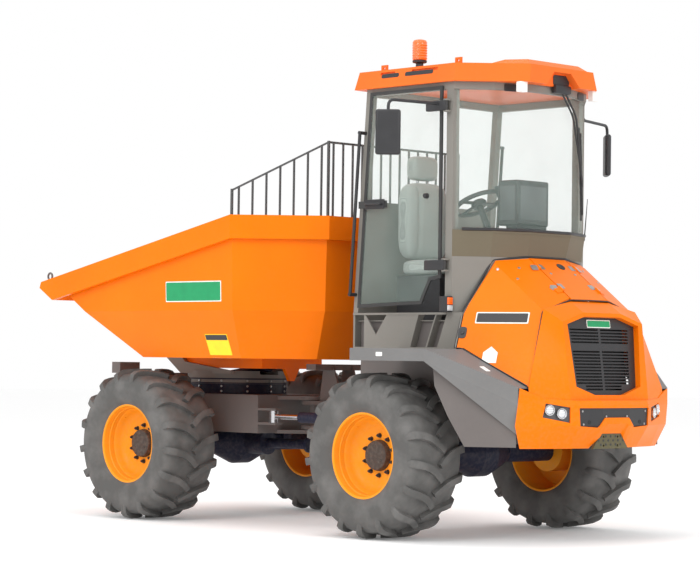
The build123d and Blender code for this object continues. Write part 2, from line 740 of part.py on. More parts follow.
def make_deck(side):
    """The grey deck over a rear wheel, its lip, the taper down to the bumper and the leaning plate under it."""
    levels = (  # x, inner y, outer y, top z, lip bottom z
        (deck_front_x, deck_inner_y, deck_outer_y, deck_top, deck_top - deck_lip),
        (deck_bend_x, deck_inner_y, deck_outer_y, deck_top, deck_top - deck_lip),
        (deck_end_x, deck_end_y - 330.0, deck_end_y, deck_end_top, deck_end_fold),
    )
    with BuildPart() as deck:
        for start, end in zip(levels, levels[1:]):
            for thick, mode in ((0.0, Mode.ADD), (sheet, Mode.SUBTRACT)):
                rings = []
                for x, inner, outer, top, bottom in (start, end):
                    grow = 0.5 if thick else 0.0
                    step = grow if x == end[0] else -grow
                    with BuildSketch(Plane.YZ.offset(x - step)) as ring:
                        with BuildLine():
                            Polyline((inner - 40.0 * (thick > 0), top - thick), (outer - thick, top - thick),
                                     (outer - thick, bottom - thick), (inner - 40.0 * (thick > 0), bottom - thick),
                                     close=True)
                        make_face()
                    rings.append(ring.sketch)
                loft(rings, ruled=True, mode=mode)
        leaning_plate(((deck_bend_x, deck_outer_y, deck_top - deck_lip + 1.0),
                       (deck_end_x, deck_end_y, deck_end_fold + 1.0),
                       (deck_end_x + 30.0, deck_end_y - 45.0, deck_end_bottom)), sheet)
    return deck.part if side > 0 else deck.part.mirror(Plane.XZ)


def make_side_panel(side):
    """The dark panel that closes the wheel arch behind the tyre, under the tapering deck."""
    taper = Vector(deck_end_x - deck_bend_x, deck_end_y - deck_outer_y, 0)
    reach = taper.length - 62.0
    under = deck_top - sheet - seat_gap
    flank = Plane(origin=(deck_bend_x, deck_outer_y - panel_inset, 0), x_dir=taper,
                  z_dir=taper.cross(Vector(0, 0, 1)))
    with BuildPart() as side_panel:
        with BuildSketch(flank) as outline:
            with BuildLine():
                Polyline((0.0, under), (reach, under - (deck_top - deck_end_top) * reach / taper.length),
                         (reach, side_bottom), (225.0, side_bottom), (110.0, 860.0), (20.0, 1060.0),
                         close=True)
            make_face()
        extrude(outline.sketch, amount=-sheet)
    return side_panel.part if side > 0 else side_panel.part.mirror(Plane.XZ)


for name, make in (("decks", make_deck), ("side_panels", make_side_panel)):
    with BuildPart() as pair:
        add(make(1))
        add(make(-1))
    save(name, pair.part)


# =============================== hood ===============================
def hood_top_z(x):
    """Height of the hood's middle at x."""
    return hood_crown_z if x > hood_bend_x else hood_crown_z + (x - hood_bend_x) * hood_slope


def facet(point, lean, inset):
    """A facet of the hood on the +Y side, through a point with its normal's direction, moved inwards."""
    normal = Vector(*lean).normalized()
    return Plane(origin=Vector(*point) - normal * inset, z_dir=normal)


def across(plane):
    """The mirror image of a plane about y = 0."""
    return Plane(origin=(plane.origin.X, -plane.origin.Y, plane.origin.Z),
                 z_dir=(plane.z_dir.X, -plane.z_dir.Y, plane.z_dir.Z))


def gap_plane(back):
    """The leaning plane where the hood's lids end, moved towards the back by so much."""
    normal = Vector(-1.0, 0.0, face_lean).normalized()
    point = Vector(gap_x, 0, gap_z) + normal * back
    return Plane(origin=point, z_dir=normal)


FACETS = (  # point, direction of the normal: flank, shoulder, front corner
    ((hood_front_x, hood_low_half, hood_low_z), (-side_taper, 1.0, side_lean)),
    ((hood_bend_x, crown_half, hood_crown_z), (-hood_slope, crown_fall, 1.0)),
    (hood_corner, (corner_turn, 1.0, corner_lean)),
)


def make_hood_solid(inset):
    """The engine cover's outer form, closed, smaller by inset on its top and sides."""
    low_z = 1000.0
    start_x = bulkhead_x + 60.0
    end_x = -2600.0
    with BuildPart() as form:
        side_profile(((start_x, low_z), (start_x, hood_crown_z - inset), (hood_bend_x, hood_crown_z - inset),
                      (end_x, hood_crown_z - inset + (end_x - hood_bend_x) * hood_slope), (end_x, low_z)),
                     -1200.0, 1200.0)
        for point, lean in FACETS:
            split(bisect_by=facet(point, lean, inset), keep=Keep.BOTTOM)
            split(bisect_by=across(facet(point, lean, inset)), keep=Keep.BOTTOM)
    return form.part


def deck_line(x):
    """Height of the deck's top beside the hood."""
    if x > deck_bend_x:
        return deck_top
    return deck_top + (x - deck_bend_x) * (deck_top - deck_end_top) / (deck_bend_x - deck_end_x)


outer_form = make_hood_solid(0.0)
inner_form = make_hood_solid(lid_skin)
with BuildPart() as hood_skin:
    add(outer_form)
    add(inner_form, mode=Mode.SUBTRACT)
    side_profile(((-1500.0, 0.0), (-1500.0, deck_top + 8.0), (deck_bend_x, deck_top + 8.0),
                  (-2700.0, deck_line(-2700.0) + 8.0), (-2700.0, 0.0)), -1200.0, 1200.0, mode=Mode.SUBTRACT)

LID_FRONT = ((cowl_middle_x - panel_gap, 0.0), (cowl_middle_x - panel_gap, cowl_middle_y),
             (cowl_side_x - panel_gap, cowl_side_y), (bulkhead_x - panel_gap, bulkhead_y),
             (lid_low_x, hood_low_half), (lid_low_x, 1300.0), (-3000.0, 1300.0), (-3000.0, 0.0))
HOOD_HINGES = (-1880.0, -2090.0)
slope_along = Vector(1.0, 0.0, hood_slope).normalized()


def hood_knuckle(x, side, radius, half_length, mode=Mode.ADD):
    """The barrel of a hood hinge, on the line that the lid turns about."""
    centre = Vector(x, side * crown_half, hood_top_z(x) + knuckle_rise)
    round_bar(tuple(centre - slope_along * half_length), tuple(centre + slope_along * half_length), radius, mode=mode)


with BuildPart() as hood_top:
    add(hood_skin.part)
    split(bisect_by=gap_plane(panel_gap - seat_gap), keep=Keep.BOTTOM)
    block(-3000.0, cowl_middle_x - seat_gap, -crown_half + panel_gap / 2, crown_half - panel_gap / 2, 1400.0, 2400.0,
          mode=Mode.INTERSECT)
    for x in HOOD_HINGES:
        for side in (-1, 1):
            hood_knuckle(x, side, knuckle_radius, 26.0)
save("hood_top", hood_top.part)
for name, side in (("left", 1), ("right", -1)):
    with BuildPart() as hood_side:
        add(hood_skin.part)
        split(bisect_by=gap_plane(0.0), keep=Keep.BOTTOM)
        plan_profile(tuple((x, side * max(y, crown_half + panel_gap / 2)) for x, y in LID_FRONT), 900.0, 2400.0,
                     mode=Mode.INTERSECT)
        for x in HOOD_HINGES:
            leaf = Plane(origin=(x, side * (crown_half + 30.0), hood_top_z(x) - 30.0 * crown_fall),
                         x_dir=(1, 0, hood_slope), z_dir=(-hood_slope, side * crown_fall, 1))
            with Locations(leaf):
                Box(48.0, 52.0, 10.0)
            hood_knuckle(x, side, knuckle_radius + seat_gap, 40.0, mode=Mode.SUBTRACT)
    save(f"hood_side_{name}", hood_side.part)

# =============================== bumper, its insert and lamps ===============================
BUMPER = (  # z, then x and y of the side, corner, shoulder and middle points
    (bumper_bottom, ((-2192.0, 724.0), (-2238.0, 614.0), (-2310.0, 361.0), (-2338.0, 186.0))),
    (800.0, ((-2222.0, 806.0), (-2297.0, 640.0), (-2412.0, 365.0), (-2436.0, 150.0))),
    (940.0, ((-2240.0, 800.0), (-2305.0, 632.0), (-2412.0, 367.0), (-2436.0, 150.0))),
    (1080.0, ((-2248.0, 788.0), (-2297.0, 600.0), (-2338.0, 395.0), (-2341.0, 172.0))),
)
BUMPER_TOP = ((0.0, bumper_top), (380.0, bumper_top), (612.0, bumper_top + 13.0), (800.0, bumper_top + 84.0),
              (840.0, bumper_top + 99.0))
INSERT = ((0.0, 921.0), (370.0, 921.0), (361.0, 800.0), (189.0, 789.0), (126.0, 856.0), (0.0, 856.0))
TOW_NOTCH = ((187.0, 644.0), (105.0, 747.0))
lamp_run = Vector(-2412.0 + 2301.0, 366.0 - 636.0, 0.0).normalized()
LAMP = ((34.0, 952.0), (220.0, 925.0), (220.0, 822.0), (12.0, 858.0))  # along the facet from its corner, z


def mirrored_face(points):
    """An outline in (y, z) closed by its mirror image."""
    return points + tuple((-y, z) for y, z in reversed(points) if y)


def above_bumper(raised):
    """Everything above the bumper's top edge, raised by so much."""
    edge = tuple((y, z + raised) for y, z in BUMPER_TOP)
    return mirrored_face(edge + ((edge[-1][0], 1400.0),))


def bumper_form(inset, reach):
    """The bumper's outer form, closed, smaller by inset, its flat side so far forward."""
    with BuildPart() as form:
        rings = []
        for z, points in BUMPER:
            half = ((points[0][0] + reach, points[0][1] - inset),) + tuple((x + inset, y - inset) for x, y in points)
            with BuildSketch(Plane.XY.offset(z)) as ring:
                with BuildLine():
                    Polyline(*mirrored(half), close=True)
                make_face()
            rings.append(ring.sketch)
        for low, high in zip(rings, rings[1:]):
            loft([low, high], ruled=True)
        cross_profile(above_bumper(-inset / 3.0), -2600.0, -1900.0, mode=Mode.SUBTRACT)
    return form.part


def notch_loft(grow, mode):
    """The tow notch, from the bumper's front back to the hitch plate, larger by grow."""
    sections = (  # x, half width and z of the bottom and of the top
        (-2450.0, 203.0 + grow, 640.0, 117.0 + grow, 832.0 + grow),
        (hitch_x - 7.0 + grow, 187.0 + grow, 640.0, 103.0 + grow, 749.0 + grow),
    )
    rings = []
    for x, low_half, low, high_half, high in sections:
        with BuildSketch(Plane.YZ.offset(x)) as ring:
            with BuildLine():
                Polyline((low_half, low), (high_half, high), (-high_half, high), (-low_half, low), close=True)
            make_face()
        rings.append(ring.sketch)
    loft(rings, ruled=True, mode=mode)


def lamp_corner(along, z, side, depth):
    """A point on the bumper's lamp facet, so deep behind it."""
    inward = Vector(-lamp_run.Y, lamp_run.X, 0.0) * depth
    point = Vector(-2301.0, 636.0, z) + lamp_run * along + inward
    return (point.X, side * point.Y, point.Z)


def lamp_plate(side, shrink, front, back, mode=Mode.ADD):
    """A plate with the lamp cluster's outline between two depths behind the facet."""
    middle_along = sum(along for along, z in LAMP) / len(LAMP)
    middle_z = sum(z for along, z in LAMP) / len(LAMP)
    corners = tuple(lamp_corner(along + (shrink if along < middle_along else -shrink),
                                z + (shrink if z < middle_z else -shrink), side, front)
                    for along, z in LAMP)
    leaning_plate(corners, side * (back - front), mode=mode)


with BuildPart() as insert_outline:
    cross_profile(mirrored_face(INSERT), -2600.0, -2300.0)
bumper_inside = bumper_form(bumper_wall, 300.0)
with BuildPart() as bumper:
    add(bumper_form(0.0, 1.0))
    add(bumper_inside, mode=Mode.SUBTRACT)
    with BuildPart(mode=Mode.PRIVATE) as pocket:
        notch_loft(notch_wall, Mode.ADD)
        add(bumper_form(0.0, 300.0), mode=Mode.INTERSECT)
    add(pocket.part)
    notch_loft(0.0, Mode.SUBTRACT)
    cross_profile(mirrored_face(tuple((y + seat_gap, z + seat_gap) for y, z in ((205.0, 620.0),) + TOW_NOTCH)),
                  -2440.0, rear_frame_end, mode=Mode.SUBTRACT)
    add(insert_outline.part, mode=Mode.SUBTRACT)
    for side in (-1, 1):
        lamp_plate(side, 0.0, -60.0, 70.0, mode=Mode.SUBTRACT)
save("bumper", bumper.part)

with BuildPart() as bumper_insert:
    add(bumper_form(8.0, 9.0))
    add(bumper_form(20.0, 300.0), mode=Mode.SUBTRACT)
    cross_profile(mirrored_face(((0.0, 921.0 - seat_gap), (370.0 - seat_gap, 921.0 - seat_gap),
                                 (361.0 - seat_gap, 800.0 + seat_gap), (189.0 + seat_gap, 789.0 + seat_gap),
                                 (126.0 + seat_gap, 856.0 + seat_gap), (0.0, 856.0 + seat_gap))),
                  -2600.0, -2350.0, mode=Mode.INTERSECT)
save("bumper_insert", bumper_insert.part)

with BuildPart() as headlamps:
    for side in (-1, 1):
        lamp_plate(side, seat_gap, 14.0, 26.0)
        for along, z in ((64.0, 907.0), (154.0, 884.0)):
            round_bar(lamp_corner(along, z, side, 20.0), lamp_corner(along, z, side, 4.0), lamp_radius)
save("headlamps", headlamps.part)

with BuildPart() as hitch_plate:
    cross_profile(mirrored_face(TOW_NOTCH), hitch_x, hitch_x + 20.0)
    with Locations((hitch_x, 0, hitch_z)):
        with BuildSketch(Plane(origin=(hitch_x, 0, hitch_z), x_dir=(0, 1, 0), z_dir=(-1, 0, 0))) as holes:
            with GridLocations(hitch_spacing_y, hitch_spacing_z, 2, 2):
                Circle(hitch_hole_radius)
    extrude(holes.sketch, amount=-40.0, mode=Mode.SUBTRACT)
    for side in (-1, 1):
        y_low, y_high = span(side, 20.0, 38.0)
        block(hitch_x + 20.0, rear_frame_end, y_low, y_high, 672.0, 740.0)
save("hitch_plate", hitch_plate.part)

# =============================== face and grille ===============================
FACE_BACK = ((202.0, 1641.0), (490.0, 1584.0), (713.0, 1060.0), (718.0, 950.0))
FACE_FRONT = ((200.0, 1552.0), (425.0, 1485.0), (416.0, 985.0), (416.0, 950.0))
GRILLE = ((189.0, 1525.0), (380.0, 1470.0), (344.0, 1050.0), (156.0, 993.0))
face_normal = Vector(-1.0, 0.0, face_lean).normalized()


def face_plane(back):
    """The plane across the cover's fixed end, moved towards the back by so much; its Y leans up the face."""
    return Plane(origin=Vector(gap_x, 0, gap_z) + face_normal * back, x_dir=(0, -1, 0), z_dir=face_normal)


def face_sketch(points, back, grow):
    """An outline given in y and z, with its mirror image, drawn across the leaning face and grown."""
    stretch = sqrt(1.0 + face_lean ** 2)
    with BuildSketch(face_plane(back)) as drawn:
        with BuildLine():
            Polyline(*tuple((-y, (z - gap_z) * stretch) for y, z in mirrored_face(points)), close=True)
        make_face()
        if grow:
            offset(amount=grow, kind=Kind.INTERSECTION, mode=Mode.REPLACE)
    return drawn.sketch


with BuildPart() as grille_frame:
    loft([face_sketch(FACE_BACK, panel_gap, 0.0), face_sketch(FACE_FRONT, face_depth, 0.0)], ruled=True)
    loft([face_sketch(FACE_BACK, panel_gap - 1.0, -lid_skin), face_sketch(FACE_FRONT, face_depth - lid_skin, -lid_skin)],
         ruled=True, mode=Mode.SUBTRACT)
    extrude(face_sketch(GRILLE, face_depth - lid_skin + 1.0, sheet), amount=-grille_depth)
    extrude(face_sketch(GRILLE, face_depth + 20.0, 0.0), amount=-200.0, mode=Mode.SUBTRACT)
    below = tuple((y, z + seat_gap) for y, z in BUMPER_TOP)
    cross_profile(mirrored_face(below + ((below[-1][0], 800.0),)), -2500.0, -2100.0, mode=Mode.SUBTRACT)
save("grille_frame", grille_frame.part)

with BuildPart() as grille:
    extrude(face_sketch(GRILLE, face_depth - grille_depth + 6.0, -seat_gap), amount=-9.0)
    with BuildSketch(face_plane(face_depth)) as slots:
        for number in range(slat_count):
            z = slat_top - number * slat_pitch
            if abs(z - cross_bar_z) > slat_pitch:
                for side in (-1, 1):
                    half = 310.0 - (slat_top - z) * 0.085 if z > 1060.0 else 190.0
                    with Locations((side * (half / 2 + 6.0), z - gap_z)):
                        Rectangle(half - 12.0, slat_gap)
    extrude(slots.sketch, amount=-200.0, mode=Mode.SUBTRACT)
save("grille", grille.part)


# =============================== cab ===============================
pillar_back_x = pillar_x - pillar_depth
REAR_PLAN = ((pillar_back_x, cab_half), (-1725.0, 490.0), (cab_rear_x, 215.0))


def cab_plan(front_x):
    """The cab's outline in plan: square towards the skip, its rear in five facets."""
    half_outline = ((front_x, cab_half),) + REAR_PLAN
    return half_outline + tuple((x, -y) for x, y in reversed(half_outline))


def front_x_at(z):
    """The cab's leaning front face, at height z."""
    return cab_front_x - (z - door_sill_z) * cab_lean


BOX_PLAN = ((cab_front_x, cab_half), (bulkhead_x, cab_half), (bulkhead_x, -cab_half), (cab_front_x, -cab_half))
COWL_LOW = ((-1300.0, cab_half), (pillar_back_x, cab_half), (cowl_side_x, cowl_side_y), (cowl_middle_x, cowl_middle_y))
COWL_HIGH = ((-1300.0, cab_half),) + REAR_PLAN
hole_high_z = door_sill_z - 15.0
hole_low_z = deck_top + 12.0
BASE_HOLES = (  # outlines in x and z: front slot, triangle, two leaning slots
    ((-599.0, hole_high_z), (-690.0, hole_high_z), (-690.0, hole_low_z), (-599.0, hole_low_z)),
    ((-704.0, hole_high_z), (-913.0, hole_high_z), (-809.0, 1405.0)),
    ((-1226.0, hole_high_z), (-1144.0, hole_low_z), (-1293.0, hole_low_z), (-1386.0, hole_high_z)),
    ((-1398.0, hole_high_z), (-1305.0, hole_low_z), (-1405.0, hole_low_z), (-1493.0, hole_high_z)),
)
BULKHEAD = ((cowl_side_x, cowl_side_y), (bulkhead_x, bulkhead_y), (lid_low_x + panel_gap, hood_low_half - 6.0),
            (lid_low_x + panel_gap + sheet, hood_low_half - 6.0), (bulkhead_x + sheet, bulkhead_y),
            (cowl_side_x + sheet, cowl_side_y))

with BuildPart() as bulkheads:
    for side in (-1, 1):
        plan_profile(tuple((x, side * y) for x, y in BULKHEAD), deck_top + seat_gap, cowl_low_z - seat_gap)
    add(outer_form, mode=Mode.INTERSECT)
with BuildPart() as cab_base:
    ring_profile(BOX_PLAN, sheet, base_low_z, door_sill_z)
    for points in BASE_HOLES:
        side_profile(points, -cab_half - 1.0, cab_half + 1.0, mode=Mode.SUBTRACT)
    block(bulkhead_x + sheet - 1.0, cab_front_x - sheet + 1.0, -cab_half + 40.0, cab_half - 40.0, cab_floor_z,
          cab_floor_z + sheet)
    ring_profile(mirrored(COWL_LOW), sheet, door_sill_z - sheet, cowl_low_z - seat_gap)
    block(pillar_back_x - seat_gap, 0.0, -cab_half, cab_half, door_sill_z, cowl_low_z, mode=Mode.SUBTRACT)
    side_profile(((cab_front_x, door_sill_z - 10.0), (front_x_at(window_sill_z), window_sill_z),
                  (front_x_at(window_sill_z) - sheet, window_sill_z), (cab_front_x - sheet, door_sill_z - 10.0)),
                 -cab_half + pillar_wide + seat_gap, cab_half - pillar_wide - seat_gap)
    for side in (-1, 1):
        y_low, y_high = span(side, cab_half - sheet, cab_half + sill_stand)
        block(-1493.0, cab_front_x, y_low, y_high, hole_high_z, door_sill_z)
        y_low, y_high = span(side, cowl_side_y, cab_half)
        block(bulkhead_x, pillar_back_x + 20.0, y_low, y_high, door_sill_z - sheet, door_sill_z)
        for x, lean in ((-1144.0, -82.0), (-1305.0, -93.0)):
            y_low, y_high = span(side, cab_half - web_depth, cab_half)
            side_profile(((x, hole_low_z - 12.0), (x + sheet, hole_low_z - 12.0), (x + sheet + lean, hole_high_z + 2.0),
                          (x + lean, hole_high_z + 2.0)), y_low, y_high)
    add(bulkheads.part)
save("cab_base", cab_base.part)

with BuildPart() as cab_frame:
    ring_profile(cab_plan(front_x_at(cab_head_z)), 45.0, cab_head_z - 50.0, cab_head_z)
    for side in (-1, 1):
        y_low, y_high = span(side, cab_half - pillar_wide, cab_half)
        side_profile(((front_x_at(door_sill_z), door_sill_z + seat_gap), (front_x_at(cab_head_z - 20.0), cab_head_z - 20.0),
                      (front_x_at(cab_head_z - 20.0) - 45.0, cab_head_z - 20.0),
                      (front_x_at(door_sill_z) - 45.0, door_sill_z + seat_gap)), y_low, y_high)
        block(pillar_back_x, pillar_x, y_low, y_high, door_sill_z + seat_gap, cab_head_z - 20.0)
    for z in (hinge_low_z, hinge_high_z):
        round_bar((pillar_x - 18.0, hinge_y_door, z - 45.0), (pillar_x - 18.0, hinge_y_door, z + 45.0), 8.0)
        for step in (-45.0, 33.0):
            block(pillar_x - 40.0, pillar_x - 4.0, cab_half - 10.0, hinge_y_door + 12.0, z + step, z + step + 12.0)
save("cab_frame", cab_frame.part)


def cowl_loft(inset, low_z, high_z, mode):
    """The cowl's outer form, leaning out from the hood up to the screen's ledge, smaller by inset."""
    rings = []
    for points, z in ((COWL_LOW, low_z), (COWL_HIGH, high_z)):
        with BuildSketch(Plane.XY.offset(z)) as ring:
            with BuildLine():
                Polyline(*mirrored(points), close=True)
            make_face()
            if inset:
                offset(amount=-inset, kind=Kind.INTERSECTION, mode=Mode.REPLACE)
        rings.append(ring.sketch)
    loft(rings, ruled=True, mode=mode)


with BuildPart() as cowl:
    cowl_loft(0.0, cowl_low_z, ledge_z, Mode.ADD)
    cowl_loft(sheet, cowl_low_z, ledge_z, Mode.SUBTRACT)
    ring_profile(cab_plan(-1400.0), 60.0, ledge_z - 20.0, ledge_z)
    ring_profile(mirrored(COWL_LOW), 120.0, cowl_low_z, cowl_low_z + sheet)
    block(pillar_back_x - seat_gap, 0.0, -900.0, 900.0, cowl_low_z - 1.0, ledge_z + 1.0, mode=Mode.SUBTRACT)
save("cowl", cowl.part)

with BuildPart() as windscreen:
    ring_profile(cab_plan(-1400.0), 20.0 + glass, ledge_z + seat_gap, cab_head_z - 50.0 - seat_gap)
    ring_profile(cab_plan(-1400.0), 20.0, ledge_z, cab_head_z, mode=Mode.SUBTRACT)
    block(pillar_back_x - seat_gap, 0.0, -900.0, 900.0, ledge_z, cab_head_z, mode=Mode.SUBTRACT)

with BuildPart() as window_right:
    side_profile(((front_x_at(door_sill_z) - 45.0 - seat_gap, door_sill_z + seat_gap),
                  (front_x_at(cab_head_z - 50.0) - 45.0 - seat_gap, cab_head_z - 50.0 - seat_gap),
                  (pillar_x + seat_gap, cab_head_z - 50.0 - seat_gap), (pillar_x + seat_gap, door_sill_z + seat_gap)),
                 -cab_half + 20.0, -cab_half + 20.0 + glass)

with BuildPart() as window_front:
    side_profile(((front_x_at(window_sill_z), window_sill_z + seat_gap),
                  (front_x_at(cab_head_z - 50.0), cab_head_z - 50.0 - seat_gap),
                  (front_x_at(cab_head_z - 50.0) - glass, cab_head_z - 50.0 - seat_gap),
                  (front_x_at(window_sill_z) - glass, window_sill_z + seat_gap)),
                 -cab_half + pillar_wide + seat_gap, cab_half - pillar_wide - seat_gap)
with BuildPart() as cab_glass:
    add(windscreen.part)
    add(window_right.part)
    add(window_front.part)
save("cab_glass", cab_glass.part)

# =============================== door ===============================
DOOR = ((-638.0, 1596.0), (-745.0, 3125.0), (-1446.0, 3125.0), (-1446.0, 1797.0), (-1352.0, 1780.0),
        (-1310.0, 1706.0), (-1267.0, 1619.0))
door_low_y = cab_half + working_gap
with BuildPart() as door_frame:
    with BuildSketch(Plane.XZ.offset(-door_low_y)) as outline:
        with BuildLine():
            Polyline(*DOOR, close=True)
        make_face()
        offset(amount=-door_border, kind=Kind.INTERSECTION, mode=Mode.SUBTRACT)
    extrude(outline.sketch, amount=-door_depth)
    for z in (hinge_low_z, hinge_high_z):
        round_bar((pillar_x - 18.0, hinge_y_door, z - 30.0), (pillar_x - 18.0, hinge_y_door, z + 30.0), 15.0)
        block(pillar_x - 18.0, pillar_x + 150.0, door_low_y + door_depth - 2.0, door_low_y + door_depth + 8.0,
              z - 30.0, z + 30.0)
        round_bar((pillar_x - 18.0, hinge_y_door, z - 60.0), (pillar_x - 18.0, hinge_y_door, z + 60.0),
                  8.0 + running_fit, mode=Mode.SUBTRACT)
    block(-700.0, -671.0, door_low_y + door_depth - 2.0, door_low_y + 46.0, 2310.0, 2340.0)
    block(-940.0, -671.0, door_low_y + 30.0, door_low_y + 46.0, 2300.0, 2350.0)
save("door_frame", door_frame.part)

with BuildPart() as door_glass:
    with BuildSketch(Plane.XZ.offset(-door_low_y - 4.0)) as outline:
        with BuildLine():
            Polyline(*DOOR, close=True)
        make_face()
        offset(amount=-door_border - seat_gap, kind=Kind.INTERSECTION, mode=Mode.REPLACE)
    extrude(outline.sketch, amount=-glass)
save("door_glass", door_glass.part)

# =============================== roof and what it carries ===============================
ROOF = ((roof_front_x, roof_half), (roof_corner_x, roof_half), (roof_rear_x, roof_rear_half))
ROOF_VENTS = ((-841.0, -981.0), (-1146.0, -1394.0))
hump_rear_x = roof_rear_x + 40.0
with BuildPart() as roof:
    rings = []
    for z, inset in ((cab_head_z + seat_gap, 0.0), (roof_high_z, roof_inset)):
        with BuildSketch(Plane.XY.offset(z)) as ring:
            with BuildLine():
                Polyline(*mirrored(tuple((x - inset if x == roof_front_x else x + inset * 0.6, y - inset)
                                         for x, y in ROOF)), close=True)
            make_face()
        rings.append(ring.sketch)
    loft(rings, ruled=True)
    hump = []
    for z, front, front_half, rear, rear_half in ((roof_high_z - 1.0, -1560.0, 460.0, hump_rear_x, 320.0),
                                                  (roof_hump_z, -1690.0, 350.0, hump_rear_x + 60.0, 270.0)):
        with BuildSketch(Plane.XY.offset(z)) as ring:
            with BuildLine():
                Polyline((front, front_half), (rear, rear_half), (rear, -rear_half), (front, -front_half), close=True)
            make_face()
        hump.append(ring.sketch)
    loft(hump, ruled=True)
    cross_profile(((-180.0, cab_head_z - 5.0), (180.0, cab_head_z - 5.0), (90.0, 3245.0), (-90.0, 3245.0)),
                  roof_rear_x - 10.0, roof_rear_x + 70.0, mode=Mode.SUBTRACT)
    for back, front in ROOF_VENTS:
        for side in (-1, 1):
            y_low, y_high = span(side, roof_half - roof_inset - 10.0, roof_half + 5.0)
            block(front, back, y_low, y_high, 3240.0, 3260.0, mode=Mode.SUBTRACT)
    for x in (-827.0, -1541.0):
        for side in (-1, 1):
            with Locations((x, side * 660.0, roof_high_z + 20.0)):
                Box(60.0, 12.0, 44.0)
                Cylinder(9.0, 40.0, rotation=(90, 0, 0), mode=Mode.SUBTRACT)
save("roof", roof.part)

with BuildPart() as beacon:
    with Locations((beacon_x, beacon_y, roof_high_z + 40.0)):
        Cylinder(22.0, 80.0)
    with Locations((beacon_x, beacon_y, roof_high_z + 150.0)):
        Cylinder(beacon_radius, 140.0)
save("beacon", beacon.part)

with BuildPart() as work_lights:
    for side in (-1, 1):
        y_low, y_high = span(side, 350.0, 420.0)
        block(-1900.0, -1860.0, y_low, y_high, 3080.0, cab_head_z)
        y_low, y_high = span(side, cab_half + seat_gap, cab_half + 60.0)
        block(-1545.0, -1480.0, y_low, y_high, 1565.0, 1667.0)
save("work_lights", work_lights.part)


MIRRORS = (  # name, side, x and y of the arm's foot
    ("mirror_left", 1, -1440.0, door_low_y + door_depth + 8.0),
    ("mirror_right", -1, pillar_x - pillar_depth / 2, cab_half),
)


def make_mirror(foot_x, foot_y):
    """A mirror head turned to face the driver, on a bent tube with a square foot."""
    head = Plane(origin=(mirror_x, mirror_y, mirror_z), x_dir=(1, 1, 0), z_dir=(1, -1, 0))
    arm_z = hinge_high_z
    with BuildPart() as mirror_head:
        with BuildSketch(head) as outline:
            RectangleRounded(190.0, 320.0, 30.0)
        extrude(outline.sketch, amount=20.0, both=True)
        block(foot_x - 22.0, foot_x + 22.0, foot_y, foot_y + 14.0, arm_z - 25.0, arm_z + 25.0)
        round_bar((foot_x, foot_y + 10.0, arm_z), (mirror_x, mirror_y, arm_z), 11.0)
        with Locations((mirror_x, mirror_y, arm_z)):
            Sphere(11.5)
        round_bar((mirror_x, mirror_y, arm_z), (mirror_x, mirror_y, mirror_z), 11.0)
    return mirror_head.part


for name, side, foot_x, foot_y in MIRRORS:
    mirror_piece = make_mirror(foot_x, foot_y)
    save(name, mirror_piece if side > 0 else mirror_piece.mirror(Plane.XZ))

# =============================== driver's station ===============================
seat_low_z = cab_floor_z + seat_height
seat_top_z = seat_low_z + cushion_depth
with BuildPart() as seat_base:
    block(seat_front_x + 30.0, seat_rear_x, seat_y, seat_y + seat_width, cab_floor_z + sheet, seat_low_z)
save("seat_base", seat_base.part)
with BuildPart() as seat_cushion:
    block(seat_front_x, seat_rear_x, seat_y - 10.0, seat_y + seat_width + 10.0, seat_low_z + seat_gap, seat_top_z)
save("seat_cushion", seat_cushion.part)
with BuildPart() as seat_back:
    side_profile(((seat_rear_x, seat_top_z + seat_gap), (seat_rear_x - 120.0, seat_top_z + seat_gap),
                  (seat_rear_x - 80.0, seat_top_z + 570.0), (seat_rear_x - 60.0, seat_top_z + 750.0),
                  (seat_rear_x + 30.0, seat_top_z + 750.0), (seat_rear_x + 40.0, seat_top_z + 570.0)),
                 seat_y, seat_y + seat_width)
save("seat_back", seat_back.part)

wheel_centre = Vector(pillar_x + 313.0, 20.0, cab_floor_z + 860.0)
wheel_axis = Vector(0.5, 0.0, 1.0).normalized()
with BuildPart() as console:
    side_profile(((pillar_x - 87.0, cab_floor_z + sheet + seat_gap), (pillar_x - 7.0, cab_floor_z + sheet + seat_gap),
                  (pillar_x + 13.0, cab_floor_z + 700.0), (pillar_x + 133.0, cab_floor_z + 970.0),
                  (pillar_x - 87.0, cab_floor_z + 1000.0)), -260.0, 60.0)
    round_bar(tuple(wheel_centre), tuple(wheel_centre - wheel_axis * 700.0), 24.0)
    with BuildSketch(Plane(origin=wheel_centre - wheel_axis * 12.0, x_dir=(0, 1, 0), z_dir=wheel_axis)) as grip:
        Circle(wheel_radius)
        Circle(wheel_radius - 26.0, mode=Mode.SUBTRACT)
    extrude(grip.sketch, amount=24.0)
    with BuildSketch(Plane(origin=wheel_centre - wheel_axis * 6.0, x_dir=(0, 1, 0), z_dir=wheel_axis)) as spokes:
        Rectangle(2 * wheel_radius - 30.0, 26.0)
        with Locations((0, -wheel_radius / 2)):
            Rectangle(26.0, wheel_radius - 20.0)
    extrude(spokes.sketch, amount=12.0)
save("console", console.part)

with BuildPart() as grab_rail:
    for side in (-1, 1):
        low = (front_x_at(rail_low_z) - 14.0, side * (cab_half + rail_stand), rail_low_z)
        high = (front_x_at(rail_high_z) - 14.0, side * (cab_half + rail_stand), rail_high_z)
        round_bar(low, high, 12.0)
        for x, y, z in (low, high):
            round_bar((x, y + side * 10.0, z), (x, side * (cab_half + seat_gap), z), 12.5)
save("grab_rails", grab_rail.part)

